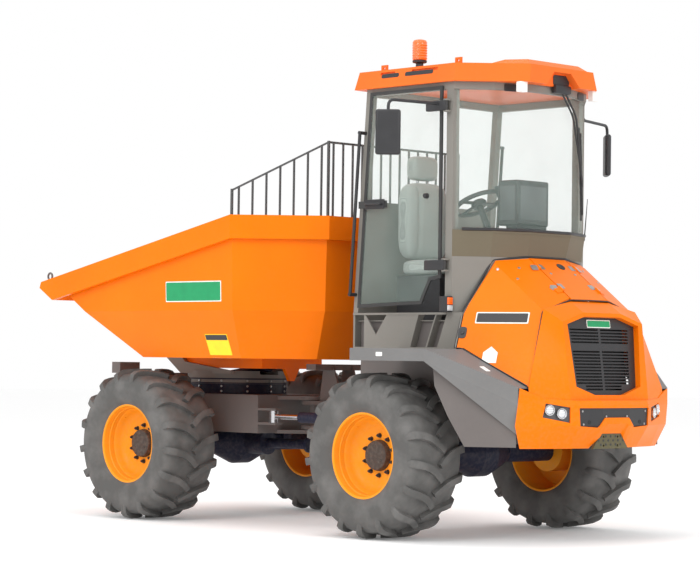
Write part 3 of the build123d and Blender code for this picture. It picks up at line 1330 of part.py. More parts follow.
with BuildPart() as front_lamps:
    block(front_frame_nose + seat_gap, front_frame_nose + 20.0, -700.0, 700.0, 1075.0, 1105.0)
    for side in (-1, 1):
        y_low, y_high = span(side, 600.0, 800.0)
        block(front_frame_nose + 10.0, front_frame_nose + 110.0, y_low, y_high, 1100.0, 1187.0)
        y_low, y_high = span(side, 300.0, 340.0)
        block(front_frame_nose + seat_gap, front_frame_nose + 15.0, y_low, y_high, 850.0, 1080.0)
save("front_lamps", front_lamps.part)
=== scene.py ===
"""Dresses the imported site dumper: finishes, tyres, glass, lamps, fittings, light and camera."""
import logging
import math
from dataclasses import dataclass, field
from enum import Enum
from typing import Callable, Optional, Sequence

import bpy
from mathutils import Matrix, Vector
from mathutils.bvhtree import BVHTree


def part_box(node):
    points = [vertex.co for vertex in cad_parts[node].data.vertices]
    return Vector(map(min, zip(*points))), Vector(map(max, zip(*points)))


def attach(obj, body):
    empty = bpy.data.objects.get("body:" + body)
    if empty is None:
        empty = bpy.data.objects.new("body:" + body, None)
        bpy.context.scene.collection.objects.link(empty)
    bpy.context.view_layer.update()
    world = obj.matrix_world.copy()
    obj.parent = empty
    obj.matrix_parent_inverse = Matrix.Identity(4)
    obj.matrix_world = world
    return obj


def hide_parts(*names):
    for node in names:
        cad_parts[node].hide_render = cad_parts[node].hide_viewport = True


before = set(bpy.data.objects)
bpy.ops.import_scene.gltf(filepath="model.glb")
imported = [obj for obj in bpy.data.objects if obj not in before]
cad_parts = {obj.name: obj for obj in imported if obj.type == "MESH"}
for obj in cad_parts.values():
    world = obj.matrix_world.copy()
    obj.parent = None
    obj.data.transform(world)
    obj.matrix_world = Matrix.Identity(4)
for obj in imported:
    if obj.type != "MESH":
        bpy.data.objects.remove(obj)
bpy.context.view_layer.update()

log = logging.getLogger("dumper")
Piece = bpy.types.Object
Point = tuple[float, float, float]
Pair = tuple[float, float]
Colour = tuple[float, float, float, float]
ORIGIN: Point = (0.0, 0.0, 0.0)
ALONG_Y: Point = (0.0, 1.0, 0.0)
ALONG_Z: Point = (0.0, 0.0, 1.0)
DOWN: Point = (0.0, 0.0, -1.0)
FORWARDS: Point = (1.0, 0.0, 0.0)
CORNERS = ("front_left", "front_right", "rear_left", "rear_right")
ABOVE, BESIDE, BEHIND = 2.6, 1.6, -3.0  # where rays start: over hood and decks, beside, behind
BEVEL_ANGLE, SMOOTH_ANGLE = math.radians(32.0), math.radians(35.0)


def rgb(red: float, green: float, blue: float) -> Colour:
    """A linear colour with full alpha."""
    return (red, green, blue, 1.0)


def shade(colour: Colour, factor: float, lift: float = 0.0) -> Colour:
    """A darker or a paler relative of a colour."""
    return rgb(*(value * factor + lift for value in colour[:3]))


def wire_section(radius: float, thick: float, points: int) -> list[Pair]:
    """The section of a ring of round wire, to be spun."""
    turns = [math.radians(360.0 / points * number) for number in range(points)]
    return [(thick * math.sin(turn), radius + thick * math.cos(turn)) for turn in turns]


class Side(Enum):
    """The machine's two sides: the door is on the left."""

    LEFT = 1
    RIGHT = -1


class Coat(Enum):
    """How a painted surface was finished."""

    GLOSS = "gloss"
    SATIN = "satin"


# ---------------------------------------------------------------- shader maths
class Signal:
    """A shader socket that takes part in Python expressions."""

    def __init__(self, book: "Finish", socket: bpy.types.NodeSocket) -> None:
        """Wraps one output socket of the material that book is making."""
        self.book = book
        self.socket = socket

    def _maths(self, operation: str, first: "Signal | float", second: "Signal | float") -> "Signal":
        """Adds one Math node.

        Args:
            operation: the node's operation.
            first: its first value or link.
            second: its second value or link.

        Returns:
            The node's result.
        """
        return self.book.node("ShaderNodeMath", {"operation": operation}, {0: first, 1: second})

    def __add__(self, other: "Signal | float") -> "Signal":
        """Sum."""
        return self._maths("ADD", self, other)

    def __rsub__(self, other: float) -> "Signal":
        """Difference, reflected."""
        return self._maths("SUBTRACT", other, self)

    def __mul__(self, other: "Signal | float") -> "Signal":
        """Product."""
        return self._maths("MULTIPLY", self, other)


@dataclass(frozen=True)
class Finish:
    """A finish of one of the record's slots, made once and shared by the pieces that wear it."""

    name: str
    slot: str

    def material(self) -> bpy.types.Material:
        """The finish's material, made the first time it is asked for.

        Returns:
            The material.
        """
        known = bpy.data.materials.get(self.name)
        if known is not None:
            return known
        made = bpy.data.materials.new(self.name)
        made.use_nodes = True
        self.mix()
        return made

    @property
    def tree(self) -> bpy.types.NodeTree:
        """The node tree of the finish's material."""
        return bpy.data.materials[self.name].node_tree

    @property
    def shader(self) -> bpy.types.Node:
        """The finish's main shader."""
        return self.tree.nodes["Principled BSDF"]

    def node(self, kind: str, settings: dict, inputs: dict, output: int | str = 0) -> Signal:
        """Adds any node.

        Args:
            kind: the node's type.
            settings: its properties.
            inputs: values or signals by socket name or number.
            output: the socket that is wanted.

        Returns:
            The wanted output.
        """
        made = self.tree.nodes.new(kind)
        for key, value in settings.items():
            setattr(made, key, value)
        for key, value in inputs.items():
            if isinstance(value, Signal):
                self.tree.links.new(value.socket, made.inputs[key])
            else:
                made.inputs[key].default_value = value
        return Signal(self, made.outputs[output])

    def place(self) -> Signal:
        """Object coordinates."""
        return self.node("ShaderNodeTexCoord", {}, {}, "Object")

    def height(self) -> Signal:
        """The Z of the Object coordinates."""
        return self.node("ShaderNodeSeparateXYZ", {}, {0: self.place()}, "Z")

    def noise(self, scale: float, detail: float = 3.0) -> Signal:
        """Fractal noise, so many lumps to the metre."""
        inputs = {"Vector": self.place(), "Scale": scale, "Detail": detail}
        return self.node("ShaderNodeTexNoise", {}, inputs, "Fac")

    def waves(self, axis: str, scale: float) -> Signal:
        """Parallel waves along an axis."""
        inputs = {"Vector": self.place(), "Scale": scale}
        return self.node("ShaderNodeTexWave", {"bands_direction": axis}, inputs, "Fac")

    def ramp(self, signal: Signal, low: float, high: float) -> Signal:
        """0 below low, 1 above high, straight between."""
        inputs = {"Value": signal, "From Min": low, "From Max": high}
        return self.node("ShaderNodeMapRange", {}, inputs, "Result")

    def blend(self, share: Signal, first: "Signal | Colour", second: "Signal | Colour") -> Signal:
        """A mix of two colours."""
        return self.node("ShaderNodeMix", {"data_type": "RGBA"}, {0: share, 6: first, 7: second}, 2)

    def bump(self, signal: Signal, strength: float, distance: float) -> None:
        """Raises the surface by the signal."""
        inputs = {"Height": signal, "Strength": strength, "Distance": distance}
        self.feed("Normal", self.node("ShaderNodeBump", {}, inputs))

    def feed(self, name: str, signal: Signal) -> None:
        """Links a signal to the main shader."""
        self.tree.links.new(signal.socket, self.shader.inputs[name])

    def fix(self, **values: float | Colour) -> None:
        """Sets plain values on the main shader; an underscore stands for a space."""
        for key, value in values.items():
            self.shader.inputs[key.replace("_", " ")].default_value = value

    def mix(self) -> None:
        """Fills the node tree."""
        raise NotImplementedError


@dataclass(frozen=True)
class Paint(Finish):
    """Sprayed paint: a colour that varies a little, dust low down, and orange peel."""

    colour: Colour = rgb(1.0, 0.2, 0.01)
    coat: Coat = Coat.GLOSS
    dust: Colour = rgb(0.42, 0.36, 0.3)
    dust_share: float = 0.1

    def mix(self) -> None:
        """Colour, dust, gloss and peel."""
        rough, clear = {Coat.GLOSS: (0.36, 0.02), Coat.SATIN: (0.52, 0.1)}[self.coat]
        patch = self.noise(1.7, 4.0)
        base = self.blend(self.ramp(patch, 0.35, 0.65), self.colour, shade(self.colour, 0.9))
        low = 1.0 - self.ramp(self.height(), 0.35, 1.5)
        speck = self.ramp(self.noise(38.0, 6.0), 0.42, 0.75)
        share = (low * 0.8 + 0.12) * speck * self.dust_share
        self.feed("Base Color", self.blend(share, base, self.dust))
        self.feed("Roughness", share * 0.5 + patch * 0.08 + (rough - 0.04))
        self.bump(self.noise(210.0, 2.0), 0.05, 0.001)
        self.fix(Coat_Weight=clear, Coat_Roughness=0.12, IOR=1.5, Specular_IOR_Level=0.12)


@dataclass(frozen=True)
class Rubber(Finish):
    """Tyre rubber: dark grey, dusty between the bars, finely rough."""

    colour: Colour = rgb(0.09, 0.088, 0.084)
    dust: Colour = rgb(0.21, 0.203, 0.195)

    def mix(self) -> None:
        """Colour, dust and grain."""
        cloud = self.noise(7.0, 8.0)
        self.feed("Base Color", self.blend(self.ramp(cloud, 0.42, 0.72) * 0.55, self.colour, self.dust))
        self.feed("Roughness", cloud * 0.25 + 0.55)
        self.bump(self.noise(160.0, 5.0), 0.25, 0.002)


@dataclass(frozen=True)
class Metal(Finish):
    """Bare or plated steel."""

    colour: Colour = rgb(0.7, 0.7, 0.72)
    roughness: float = 0.2

    def mix(self) -> None:
        """Colour and fine scratches."""
        grain = self.noise(90.0, 4.0)
        self.feed("Base Color", self.blend(grain, self.colour, shade(self.colour, 0.8)))
        self.feed("Roughness", grain * 0.12 + (self.roughness - 0.06))
        self.fix(Metallic=1.0)


@dataclass(frozen=True)
class Plastic(Finish):
    """Moulded plastic with a fine grain."""

    colour: Colour = rgb(0.02, 0.02, 0.022)
    roughness: float = 0.45
    grain: float = 0.12

    def mix(self) -> None:
        """Colour and grain."""
        cloud = self.noise(14.0, 4.0)
        self.feed("Base Color", self.blend(cloud, self.colour, shade(self.colour, 1.35, 0.004)))
        self.feed("Roughness", cloud * 0.14 + (self.roughness - 0.07))
        self.bump(self.noise(420.0, 2.0), self.grain, 0.0006)


@dataclass(frozen=True)
class Glazing(Finish):
    """Pale tinted glass that lets the cab show through."""

    colour: Colour = rgb(0.62, 0.78, 0.7)
    alpha: float = 0.08

    def mix(self) -> None:
        """Colour, see-through share and faint smears."""
        smear = self.noise(3.2, 3.0)
        self.feed("Alpha", smear * 0.08 + (self.alpha - 0.04))
        self.feed("Roughness", smear * 0.06 + 0.01)
        self.fix(Base_Color=self.colour, IOR=1.5, Coat_Weight=0.4)


@dataclass(frozen=True)
class Lens(Finish):
    """A clear or tinted lamp lens with its prisms."""

    colour: Colour = rgb(1.0, 0.28, 0.02)
    glow: float = 0.0

    def mix(self) -> None:
        """Colour with ribs."""
        ribs = self.waves("Z", 26.0)
        self.feed("Base Color", self.blend(ribs * 0.6, self.colour, shade(self.colour, 0.45)))
        self.feed("Roughness", ribs * 0.1 + 0.08)
        self.bump(ribs, 0.3, 0.002)
        self.fix(Coat_Weight=0.8, Emission_Color=self.colour, Emission_Strength=self.glow)


@dataclass(frozen=True)
class Cloth(Finish):
    """Woven seat cloth."""

    colour: Colour = rgb(0.07, 0.075, 0.085)

    def mix(self) -> None:
        """Two crossed sets of threads."""
        weave = self.waves("Z", 150.0) * self.waves("Y", 150.0)
        self.feed("Base Color", self.blend(weave, self.colour, shade(self.colour, 2.2)))
        self.feed("Roughness", weave * 0.1 + 0.82)
        self.bump(weave, 0.4, 0.0015)
        self.fix(Sheen_Weight=0.3)


ORANGE = Paint("orange_body_paint", "orange_paint", rgb(1.0, 0.2, 0.0))
ROOF_ORANGE = Paint("roof_paint", "orange_paint", rgb(0.95, 0.17, 0.025))
RIM_ORANGE = Paint("rim_paint_orange", "rim_paint", rgb(1.0, 0.36, 0.02))
CAB_GREY = Paint("cab_grey_paint", "grey_paint", rgb(0.245, 0.233, 0.21), Coat.SATIN)
DECK_GREY = Paint("deck_grey_paint", "grey_paint", rgb(0.2, 0.198, 0.196), Coat.SATIN)
COWL_GREY = Paint("cowl_grey_paint", "grey_paint", rgb(0.17, 0.145, 0.1), Coat.SATIN)
GUARD_GREY = Paint("guard_paint", "grey_paint", rgb(0.1, 0.1, 0.1), Coat.SATIN)
FRAME_DARK = Paint("frame_dark_paint", "dark_frame", rgb(0.17, 0.152, 0.145), Coat.SATIN, dust_share=0.03)
RING_NAVY = Paint("ring_navy_paint", "ring_steel", rgb(0.02, 0.022, 0.045), Coat.SATIN, dust_share=0.12)
CHROME = Metal("rod_plating", "rod_chrome")
BOLT_STEEL = Metal("bolt_steel", "rod_chrome", rgb(0.5, 0.5, 0.5), 0.35)
TYRE = Rubber("tyre_tread_rubber", "tyre_rubber")
HUB_BROWN = Paint("hub_brown_paint", "dark_frame", rgb(0.075, 0.06, 0.052), Coat.SATIN, dust_share=0.2)
OLIVE = Paint("hitch_paint", "grey_paint", rgb(0.12, 0.11, 0.06), Coat.SATIN)
MIRROR = Metal("mirror_silver", "rod_chrome", rgb(0.75, 0.78, 0.8), 0.08)
# CORE also paints the shade inside the bumper insert's holes.
CORE = Plastic("radiator_black_and_hole_shade", "black_plastic", rgb(0.012, 0.012, 0.013), 0.6, 0.5)
LABEL_WHITE = Plastic("label_white", "grey_paint", rgb(0.75, 0.75, 0.72), 0.4, 0.02)
SIGN_GREEN = Plastic("sign_green", "grey_paint", rgb(0.0, 0.26, 0.09), 0.35, 0.02)
SIGN_YELLOW = Plastic("sign_yellow", "grey_paint", rgb(0.9, 0.62, 0.0), 0.35, 0.02)
GLASS = Glazing("cab_glass_tint", "cab_glass")
# BLACK also paints the shade in the hitch plate's holes, the roof's notch and the roof's side slots.
BLACK = Plastic("black_moulding", "black_plastic")
SCREEN_GREY = Plastic("console_moulding", "black_plastic", rgb(0.07, 0.075, 0.08))
DOOR_DARK = Paint("door_frame_paint", "grey_paint", rgb(0.06, 0.06, 0.06), Coat.SATIN)
SEAT_CLOTH = Cloth("seat_weave", "seat_cloth", rgb(0.26, 0.29, 0.27))
AMBER = Lens("amber_lens", "amber_lamp", rgb(1.0, 0.16, 0.02), 0.25)
CLEAR = Lens("clear_lens", "lamp_glass", rgb(0.8, 0.82, 0.84))


# ---------------------------------------------------------------- workshop
class Workshop:
    """Modelling operators used as by hand, each leaving one finished mesh in the machine's frame."""

    @staticmethod
    def clear() -> None:
        """Leaves nothing selected."""
        if bpy.context.object is not None and bpy.context.object.mode != "OBJECT":
            bpy.ops.object.mode_set(mode="OBJECT")
        bpy.ops.object.select_all(action="DESELECT")

    @staticmethod
    def settle(name: str) -> Piece:
        """Names the active object and puts its place into its mesh.

        Args:
            name: the piece's name.

        Returns:
            The piece.
        """
        made = bpy.context.active_object
        made.name = name
        made.data.name = name
        bpy.ops.object.transform_apply(location=True, rotation=True, scale=True)
        return made

    @classmethod
    def hold(cls, piece: Piece) -> None:
        """Leaves the piece alone selected and active.

        Args:
            piece: the piece.
        """
        cls.clear()
        bpy.context.view_layer.objects.active = piece
        piece.select_set(True)

    @classmethod
    def edit(cls, piece: Piece, *steps: Callable[[], object]) -> None:
        """Runs operators in edit mode, the whole mesh selected at the start.

        Args:
            piece: the piece.
            steps: operators to run, in order.
        """
        cls.hold(piece)
        bpy.ops.object.mode_set(mode="EDIT")
        bpy.ops.mesh.select_mode(type="FACE")
        bpy.ops.mesh.select_all(action="SELECT")
        for step in steps:
            step()
        bpy.ops.object.mode_set(mode="OBJECT")

    @classmethod
    def round_edges(cls, piece: Piece, width: float, segments: int = 2) -> Piece:
        """Bevels the sharp edges and shades the rest smooth.

        Args:
            piece: the piece.
            width: the bevel's width, or 0 for none.
            segments: the bevel's steps.

        Returns:
            The piece.
        """
        cls.hold(piece)
        if width:
            bevel = piece.modifiers.new("edges", "BEVEL")
            bevel.width = width
            bevel.segments = segments
            bevel.limit_method = "ANGLE"
            bevel.angle_limit = BEVEL_ANGLE
            bpy.ops.object.modifier_apply(modifier=bevel.name)
        bpy.ops.object.shade_smooth_by_angle(angle=SMOOTH_ANGLE)
        return piece

    @classmethod
    def block(cls, name: str, low: Point, high: Point, edge: float = 0.002) -> Piece:
        """A block between two corners with rounded edges.

        Args:
            name: the piece's name.
            low: the lowest corner.
            high: the highest corner.
            edge: the width of its bevelled edges.

        Returns:
            The piece.
        """
        cls.clear()
        middle = [(a + b) / 2.0 for a, b in zip(low, high)]
        bpy.ops.mesh.primitive_cube_add(size=1.0, location=middle)
        bpy.context.active_object.scale = [abs(b - a) for a, b in zip(low, high)]
        return cls.round_edges(cls.settle(name), edge)

    @classmethod
    def rod(cls, name: str, start: Point, end: Point, radius: float, tip: Optional[float] = None,
            sides: int = 20, edge: float = 0.0015) -> Piece:
        """A round bar between two points, tapering to tip where that is given.

        Args:
            name: the piece's name.
            start: where it begins.
            end: where it ends.
            radius: its radius.
            tip: its radius at the end, if another.
            sides: the facets round it.
            edge: the width of its bevelled edges.

        Returns:
            The piece.
        """
        cls.clear()
        run = Vector(end) - Vector(start)
        bpy.ops.mesh.primitive_cone_add(
            vertices=sides, radius1=radius, radius2=radius if tip is None else tip, depth=run.length,
            location=(Vector(start) + Vector(end)) / 2.0, rotation=run.to_track_quat("Z", "Y").to_euler())
        return cls.round_edges(cls.settle(name), edge)

    @classmethod
    def plate(cls, name: str, corners: Sequence[Point], thick: float) -> Piece:
        """A flat plate: a disc's rim is moved to the corners and extruded along its normal.

        Args:
            name: the piece's name.
            corners: the rim's corners, in order.
            thick: its thickness.

        Returns:
            The piece.
        """
        cls.clear()
        bpy.ops.mesh.primitive_circle_add(vertices=len(corners), radius=1.0, fill_type="NGON")
        made = cls.settle(name)
        for vertex, corner in zip(made.data.vertices, corners):
            vertex.co = corner
        made.data.update()
        normal = made.data.polygons[0].normal.copy()
        lift = {"value": tuple(normal * thick)}
        cls.edit(made, lambda: bpy.ops.mesh.extrude_region_move(TRANSFORM_OT_translate=lift),
                 lambda: bpy.ops.mesh.select_all(action="SELECT"), bpy.ops.mesh.normals_make_consistent)
        return cls.round_edges(made, 0.0)

    @classmethod
    def spun(cls, name: str, profile: Sequence[tuple[float, float]], centre: Point, axis: Point = ALONG_Y,
             steps: int = 64) -> Piece:
        """A turned form: a ring's points are moved to a closed profile and spun about the axis.

        Args:
            name: the piece's name.
            profile: places along the axis and radii, in metres.
            centre: the place where along is nought.
            axis: the direction of the axis.
            steps: facets round the form.

        Returns:
            The piece.
        """
        cls.clear()
        bpy.ops.mesh.primitive_circle_add(vertices=len(profile), radius=1.0, fill_type="NOTHING")
        made = cls.settle(name)
        line = Vector(axis).normalized()
        out = line.orthogonal().normalized()
        for vertex, (along, radius) in zip(made.data.vertices, profile):
            vertex.co = Vector(centre) + line * along + out * radius
        cls.hold(made)
        bpy.ops.object.mode_set(mode="EDIT")
        bpy.ops.mesh.select_mode(type="VERT")
        bpy.ops.mesh.select_all(action="SELECT")
        bpy.ops.mesh.spin(steps=steps, angle=2.0 * math.pi, center=centre, axis=tuple(line))
        bpy.ops.mesh.select_all(action="SELECT")
        bpy.ops.mesh.remove_doubles(threshold=0.00002)
        bpy.ops.mesh.dissolve_degenerate(threshold=0.00001)
        bpy.ops.mesh.normals_make_consistent(inside=False)
        bpy.ops.object.mode_set(mode="OBJECT")
        return cls.round_edges(made, 0.0)

    @classmethod
    def tube(cls, name: str, points: Sequence[Point], radius: float, bend: float,
             fineness: int = 4) -> Piece:
        """A bent tube through points, its corners rounded by bend.

        Args:
            name: the piece's name.
            points: the corners of its line.
            radius: its radius.
            bend: how far from a corner the rounding starts.
            fineness: how finely its round is drawn.

        Returns:
            The piece.
        """
        cls.clear()
        bpy.ops.curve.primitive_bezier_curve_add()
        made = bpy.context.active_object
        made.data.splines.clear()
        path: list[Vector] = [Vector(points[0])]
        for before, corner, after in zip(points, points[1:], points[2:]):
            back = Vector(before) - Vector(corner)
            on = Vector(after) - Vector(corner)
            reach = min(bend, back.length * 0.45, on.length * 0.45)
            first = Vector(corner) + back.normalized() * reach
            last = Vector(corner) + on.normalized() * reach
            for step in range(5):
                share = step / 4.0
                path.append(first.lerp(Vector(corner), share).lerp(Vector(corner).lerp(last, share), share))
        path.append(Vector(points[-1]))
        line = made.data.splines.new("POLY")
        line.points.add(len(path) - 1)
        for point, place in zip(line.points, path):
            point.co = (*place, 1.0)
        made.data.dimensions = "3D"
        made.data.bevel_depth = radius
        made.data.bevel_resolution = fineness
        made.data.use_fill_caps = True
        bpy.ops.object.convert(target="MESH")
        made = cls.settle(name)
        cls.edit(made, bpy.ops.mesh.remove_doubles, bpy.ops.mesh.normals_make_consistent)
        return cls.round_edges(made, 0.0)

    @classmethod
    def join(cls, name: str, pieces: Sequence[Piece]) -> Piece:
        """One piece out of several.

        Args:
            name: the piece's name.
            pieces: the pieces to join.

        Returns:
            The piece.
        """
        cls.clear()
        for piece in pieces:
            piece.select_set(True)
        bpy.context.view_layer.objects.active = pieces[0]
        bpy.ops.object.join()
        made = bpy.context.active_object
        made.name = name
        made.data.name = name
        return made

    @staticmethod
    def copy(piece: Piece, name: str, turn: Matrix) -> Piece:
        """A copy with its own mesh, moved by a matrix; a mirror image is turned the right way out.

        Args:
            piece: what is copied.
            name: the copy's name.
            turn: the matrix that moves it.

        Returns:
            The copy.
        """
        made = piece.copy()
        made.data = piece.data.copy()
        made.name = name
        bpy.context.scene.collection.objects.link(made)
        made.data.transform(turn)
        if turn.determinant() < 0.0:
            made.data.flip_normals()
        return made

    @classmethod
    def ring(cls, name: str, piece: Piece, count: int, centre: Point,
             axis: Point) -> Piece:
        """Copies of a piece evenly round an axis, joined to it.

        Args:
            name: the joined piece's name.
            piece: what is copied.
            count: how many there are, itself counted.
            centre: a place on the axis.
            axis: the axis's direction.

        Returns:
            The piece.
        """
        copies = [piece]
        to_axis = Matrix.Translation(Vector(centre))
        for number in range(1, count):
            turn = Matrix.Rotation(2.0 * math.pi * number / count, 4, Vector(axis))
            copies.append(cls.copy(piece, f"{name}_{number}", to_axis @ turn @ to_axis.inverted()))
        return cls.join(name, copies)


def fit(piece: Piece, body: str, finish: Finish, *nodes: str) -> Piece:
    """Gives a piece its finish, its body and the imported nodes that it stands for.

    Args:
        piece: the finished mesh.
        body: the body that it rides on.
        finish: what it wears.
        nodes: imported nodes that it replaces.

    Returns:
        The piece.
    """
    piece.data.materials.clear()
    piece.data.materials.append(finish.material())
    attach(piece, body)
    if nodes:
        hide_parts(*nodes)
    log.info("%s rides on %s", piece.name, body)
    return piece


MIRROR_Y = Matrix.Scale(-1.0, 4, ALONG_Y)


# ---------------------------------------------------------------- wheels
@dataclass
class Wheels:
    """Four tractor-pattern tyres on deep dished rims."""

    radius: float = 0.57
    half_width: float = 0.25
    bars: int = 17
    bar_depth: float = 0.045
    carcass: tuple[Pair, ...] = (
        (-0.204, 0.2885), (-0.216, 0.303), (-0.236, 0.325), (-0.2485, 0.375), (-0.2495, 0.43),
        (-0.246, 0.468), (-0.232, 0.5), (-0.2, 0.524), (-0.13, 0.5345), (0.0, 0.5375), (0.13, 0.5345),
        (0.2, 0.524), (0.232, 0.5), (0.246, 0.468), (0.2495, 0.43), (0.2485, 0.375), (0.236, 0.325),
        (0.216, 0.303), (0.204, 0.2885))
    bar_line: tuple[tuple[float, float, float, float], ...] = (  # along, across, half width, top radius
        (-0.004, -0.018, 0.019, 0.5695), (0.028, 0.018, 0.022, 0.57), (0.062, 0.062, 0.0235, 0.57),
        (0.088, 0.112, 0.0245, 0.57), (0.105, 0.165, 0.025, 0.5675), (0.114, 0.213, 0.0265, 0.556),
        (0.118, 0.243, 0.028, 0.533), (0.119, 0.2495, 0.028, 0.5), (0.119, 0.2495, 0.02, 0.466))
    rim: tuple[Pair, ...] = (
        (0.211, 0.2975), (0.2118, 0.292), (0.207, 0.283), (0.19, 0.2785), (0.163, 0.2765), (0.158, 0.271),
        (0.121, 0.2675), (0.114, 0.261), (0.082, 0.2525), (0.062, 0.24), (0.048, 0.222), (0.041, 0.204),
        (0.0402, 0.12), (0.0402, 0.0), (0.0, 0.0), (0.0, 0.0555), (-0.1495, 0.0555), (-0.1495, 0.1495),
        (0.024, 0.1495), (0.024, 0.205), (0.022, 0.262), (-0.1, 0.271), (-0.19, 0.2775), (-0.207, 0.283),
        (-0.2118, 0.292), (-0.211, 0.2975), (-0.2045, 0.2975), (-0.2035, 0.2868), (0.2035, 0.2868),
        (0.2045, 0.2975))
    cap: tuple[Pair, ...] = (
        (0.0403, 0.0), (0.0403, 0.108), (0.05, 0.108), (0.07, 0.1045), (0.083, 0.1), (0.0878, 0.09),
        (0.0878, 0.035), (0.0868, 0.028), (0.0868, 0.0))
    nuts: int = 10
    nut_circle: float = 0.1375

    def build(self) -> None:
        """Makes one wheel and copies it to its four places."""
        tyre, rim, cap, studs = self.tyre(), self.rim_dish(), self.hub_cap(), self.studs()
        for place in CORNERS:
            low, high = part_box(f"tyre_{place}")
            middle = (low + high) / 2.0
            hub = Matrix.Translation((middle.x, middle.y, self.radius))
            turn = hub if middle.y > 0.0 else hub @ MIRROR_Y
            body = f"wheel_{place}"
            fit(Workshop.copy(tyre, f"tyre_{place}_full", turn), body, TYRE, f"tyre_{place}")
            fit(Workshop.copy(rim, f"rim_{place}_full", turn), body, RIM_ORANGE, f"rim_{place}")
            fit(Workshop.copy(cap, f"hub_cap_{place}", turn), body, HUB_BROWN)
            fit(Workshop.copy(studs, f"wheel_nuts_{place}", turn), body, BLACK)
        for pattern in (tyre, rim, cap, studs):
            bpy.data.objects.remove(pattern)

    def tyre(self) -> Piece:
        """The carcass and its two rows of bars, about the origin.

        Returns:
            The piece.
        """
        carcass = Workshop.spun("carcass", self.carcass, ORIGIN, steps=102)
        bars = (("bars_left", self.bar(1, 0.0)), ("bars_right", self.bar(-1, math.pi / self.bars)))
        rows = [Workshop.ring(name, bar, self.bars, ORIGIN, ALONG_Y) for name, bar in bars]
        return Workshop.join("tyre_pattern", [carcass, *rows])

    def bar(self, side: int, turn: float) -> Piece:
        """One bar: a grid laid along its line on the tread, extruded inwards.

        Args:
            side: 1 for the left row, -1 for the right one.
            turn: the angle where its row starts.

        Returns:
            The piece.
        """
        Workshop.clear()
        bpy.ops.mesh.primitive_grid_add(x_subdivisions=2, y_subdivisions=len(self.bar_line) - 1, size=2.0)
        made = Workshop.settle("bar")
        stations = len(self.bar_line)
        for vertex in made.data.vertices:
            column = round(vertex.co.x)
            row = round((vertex.co.y + 1.0) / 2.0 * (stations - 1))
            along, across, half, radius = self.bar_line[row]
            before = self.bar_line[max(row - 1, 0)]
            after = self.bar_line[min(row + 1, stations - 1)]
            run = Vector((after[0] - before[0], after[1] - before[1])).normalized()
            along += column * half * run.y
            across = min(across - column * half * run.x, self.half_width - 0.0005)
            angle = along / self.radius + turn
            radius -= 0.0015 * abs(column)
            vertex.co = (radius * math.sin(angle), side * across, radius * math.cos(angle))
        Workshop.edit(made, bpy.ops.mesh.extrude_region_move)
        for vertex in made.data.vertices:
            if vertex.select:
                reach = math.hypot(vertex.co.x, vertex.co.z)
                inner = (reach - self.bar_depth) / reach
                vertex.co.x *= inner
                vertex.co.z *= inner
                vertex.co.y *= 0.96 if abs(vertex.co.y) > 0.24 else 1.0
        Workshop.edit(made, lambda: bpy.ops.mesh.normals_make_consistent(inside=False))
        return Workshop.round_edges(made, 0.004, 1)

    def rim_dish(self) -> Piece:
        """The rim about the origin, its dish towards +Y, with its tyre valve.

        Returns:
            The piece.
        """
        dish = Workshop.spun("rim_pattern", self.rim, ORIGIN, steps=96)
        valve = Workshop.rod("valve", (0.17, 0.085, 0.19), (0.182, 0.118, 0.2), 0.006, 0.004, 10)
        return Workshop.join("rim_pattern", [dish, valve])

    def hub_cap(self) -> Piece:
        """The dark cover of the hub with its three small plugs.

        Returns:
            The piece.
        """
        cap = Workshop.spun("cap_pattern", self.cap, ORIGIN, steps=48)
        plug = Workshop.rod("plug", (0.0, 0.086, 0.062), (0.0, 0.0915, 0.062), 0.008, sides=12)
        return Workshop.join("cap_pattern", [cap, Workshop.ring("plugs", plug, 3, ORIGIN, ALONG_Y)])

    def studs(self) -> Piece:
        """The wheel nuts on their washers.

        Returns:
            The piece.
        """
        sizes = (("washer", 0.0401, 0.045, 0.017, 16), ("nut", 0.044, 0.062, 0.0135, 6),
                 ("thread", 0.06, 0.072, 0.008, 10))
        parts = [Workshop.rod(name, (0.0, low, self.nut_circle), (0.0, high, self.nut_circle), radius,
                              sides=sides) for name, low, high, radius, sides in sizes]
        return Workshop.ring("nuts_pattern", Workshop.join("nut", parts), self.nuts, ORIGIN, ALONG_Y)


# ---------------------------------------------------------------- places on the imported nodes
def touch(node: str, start: Point, towards: Point) -> tuple[Vector, Vector]:
    """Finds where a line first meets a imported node.

    Args:
        node: the node's name.
        start: a place outside it.
        towards: the line's direction.

    Returns:
        The place and the surface's outward normal there.
    """
    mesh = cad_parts[node].data
    skin = BVHTree.FromPolygons([vertex.co.copy() for vertex in mesh.vertices],
                                [tuple(polygon.vertices) for polygon in mesh.polygons])
    place, normal, _, _ = skin.ray_cast(Vector(start), Vector(towards).normalized())
    if place is None:
        raise ValueError(f"nothing of {node} lies that way from {start}")
    return place, normal


def level_axes(normal: Vector) -> tuple[Vector, Vector]:
    """The level direction along a face and the one up it."""
    across = Vector(ALONG_Z).cross(normal).normalized()
    return across, normal.cross(across).normalized()


def card(name: str, centre: Vector, normal: Vector, size: Pair, thick: float = 0.002,
         corner: float = 0.006) -> Piece:
    """A blank plate with rounded corners lying on a face.

    Args:
        name: the plate's name.
        centre: its middle, on the face.
        normal: the face's normal.
        size: its level width and its height.
        thick: its thickness.
        corner: the radius of its corners.

    Returns:
        The plate.
    """
    across, rise = level_axes(normal)
    rim = []
    for quarter in range(4):
        for step in range(4):
            angle = math.radians(90.0 * quarter + 30.0 * step)
            right, up = math.cos(angle), math.sin(angle)
            side = 1.0 if quarter in (0, 3) else -1.0
            top = 1.0 if quarter in (0, 1) else -1.0
            rim.append(centre + across * (side * (size[0] / 2.0 - corner) + right * corner)
                       + rise * (top * (size[1] / 2.0 - corner) + up * corner))
    return Workshop.plate(name, [tuple(point) for point in rim], thick)


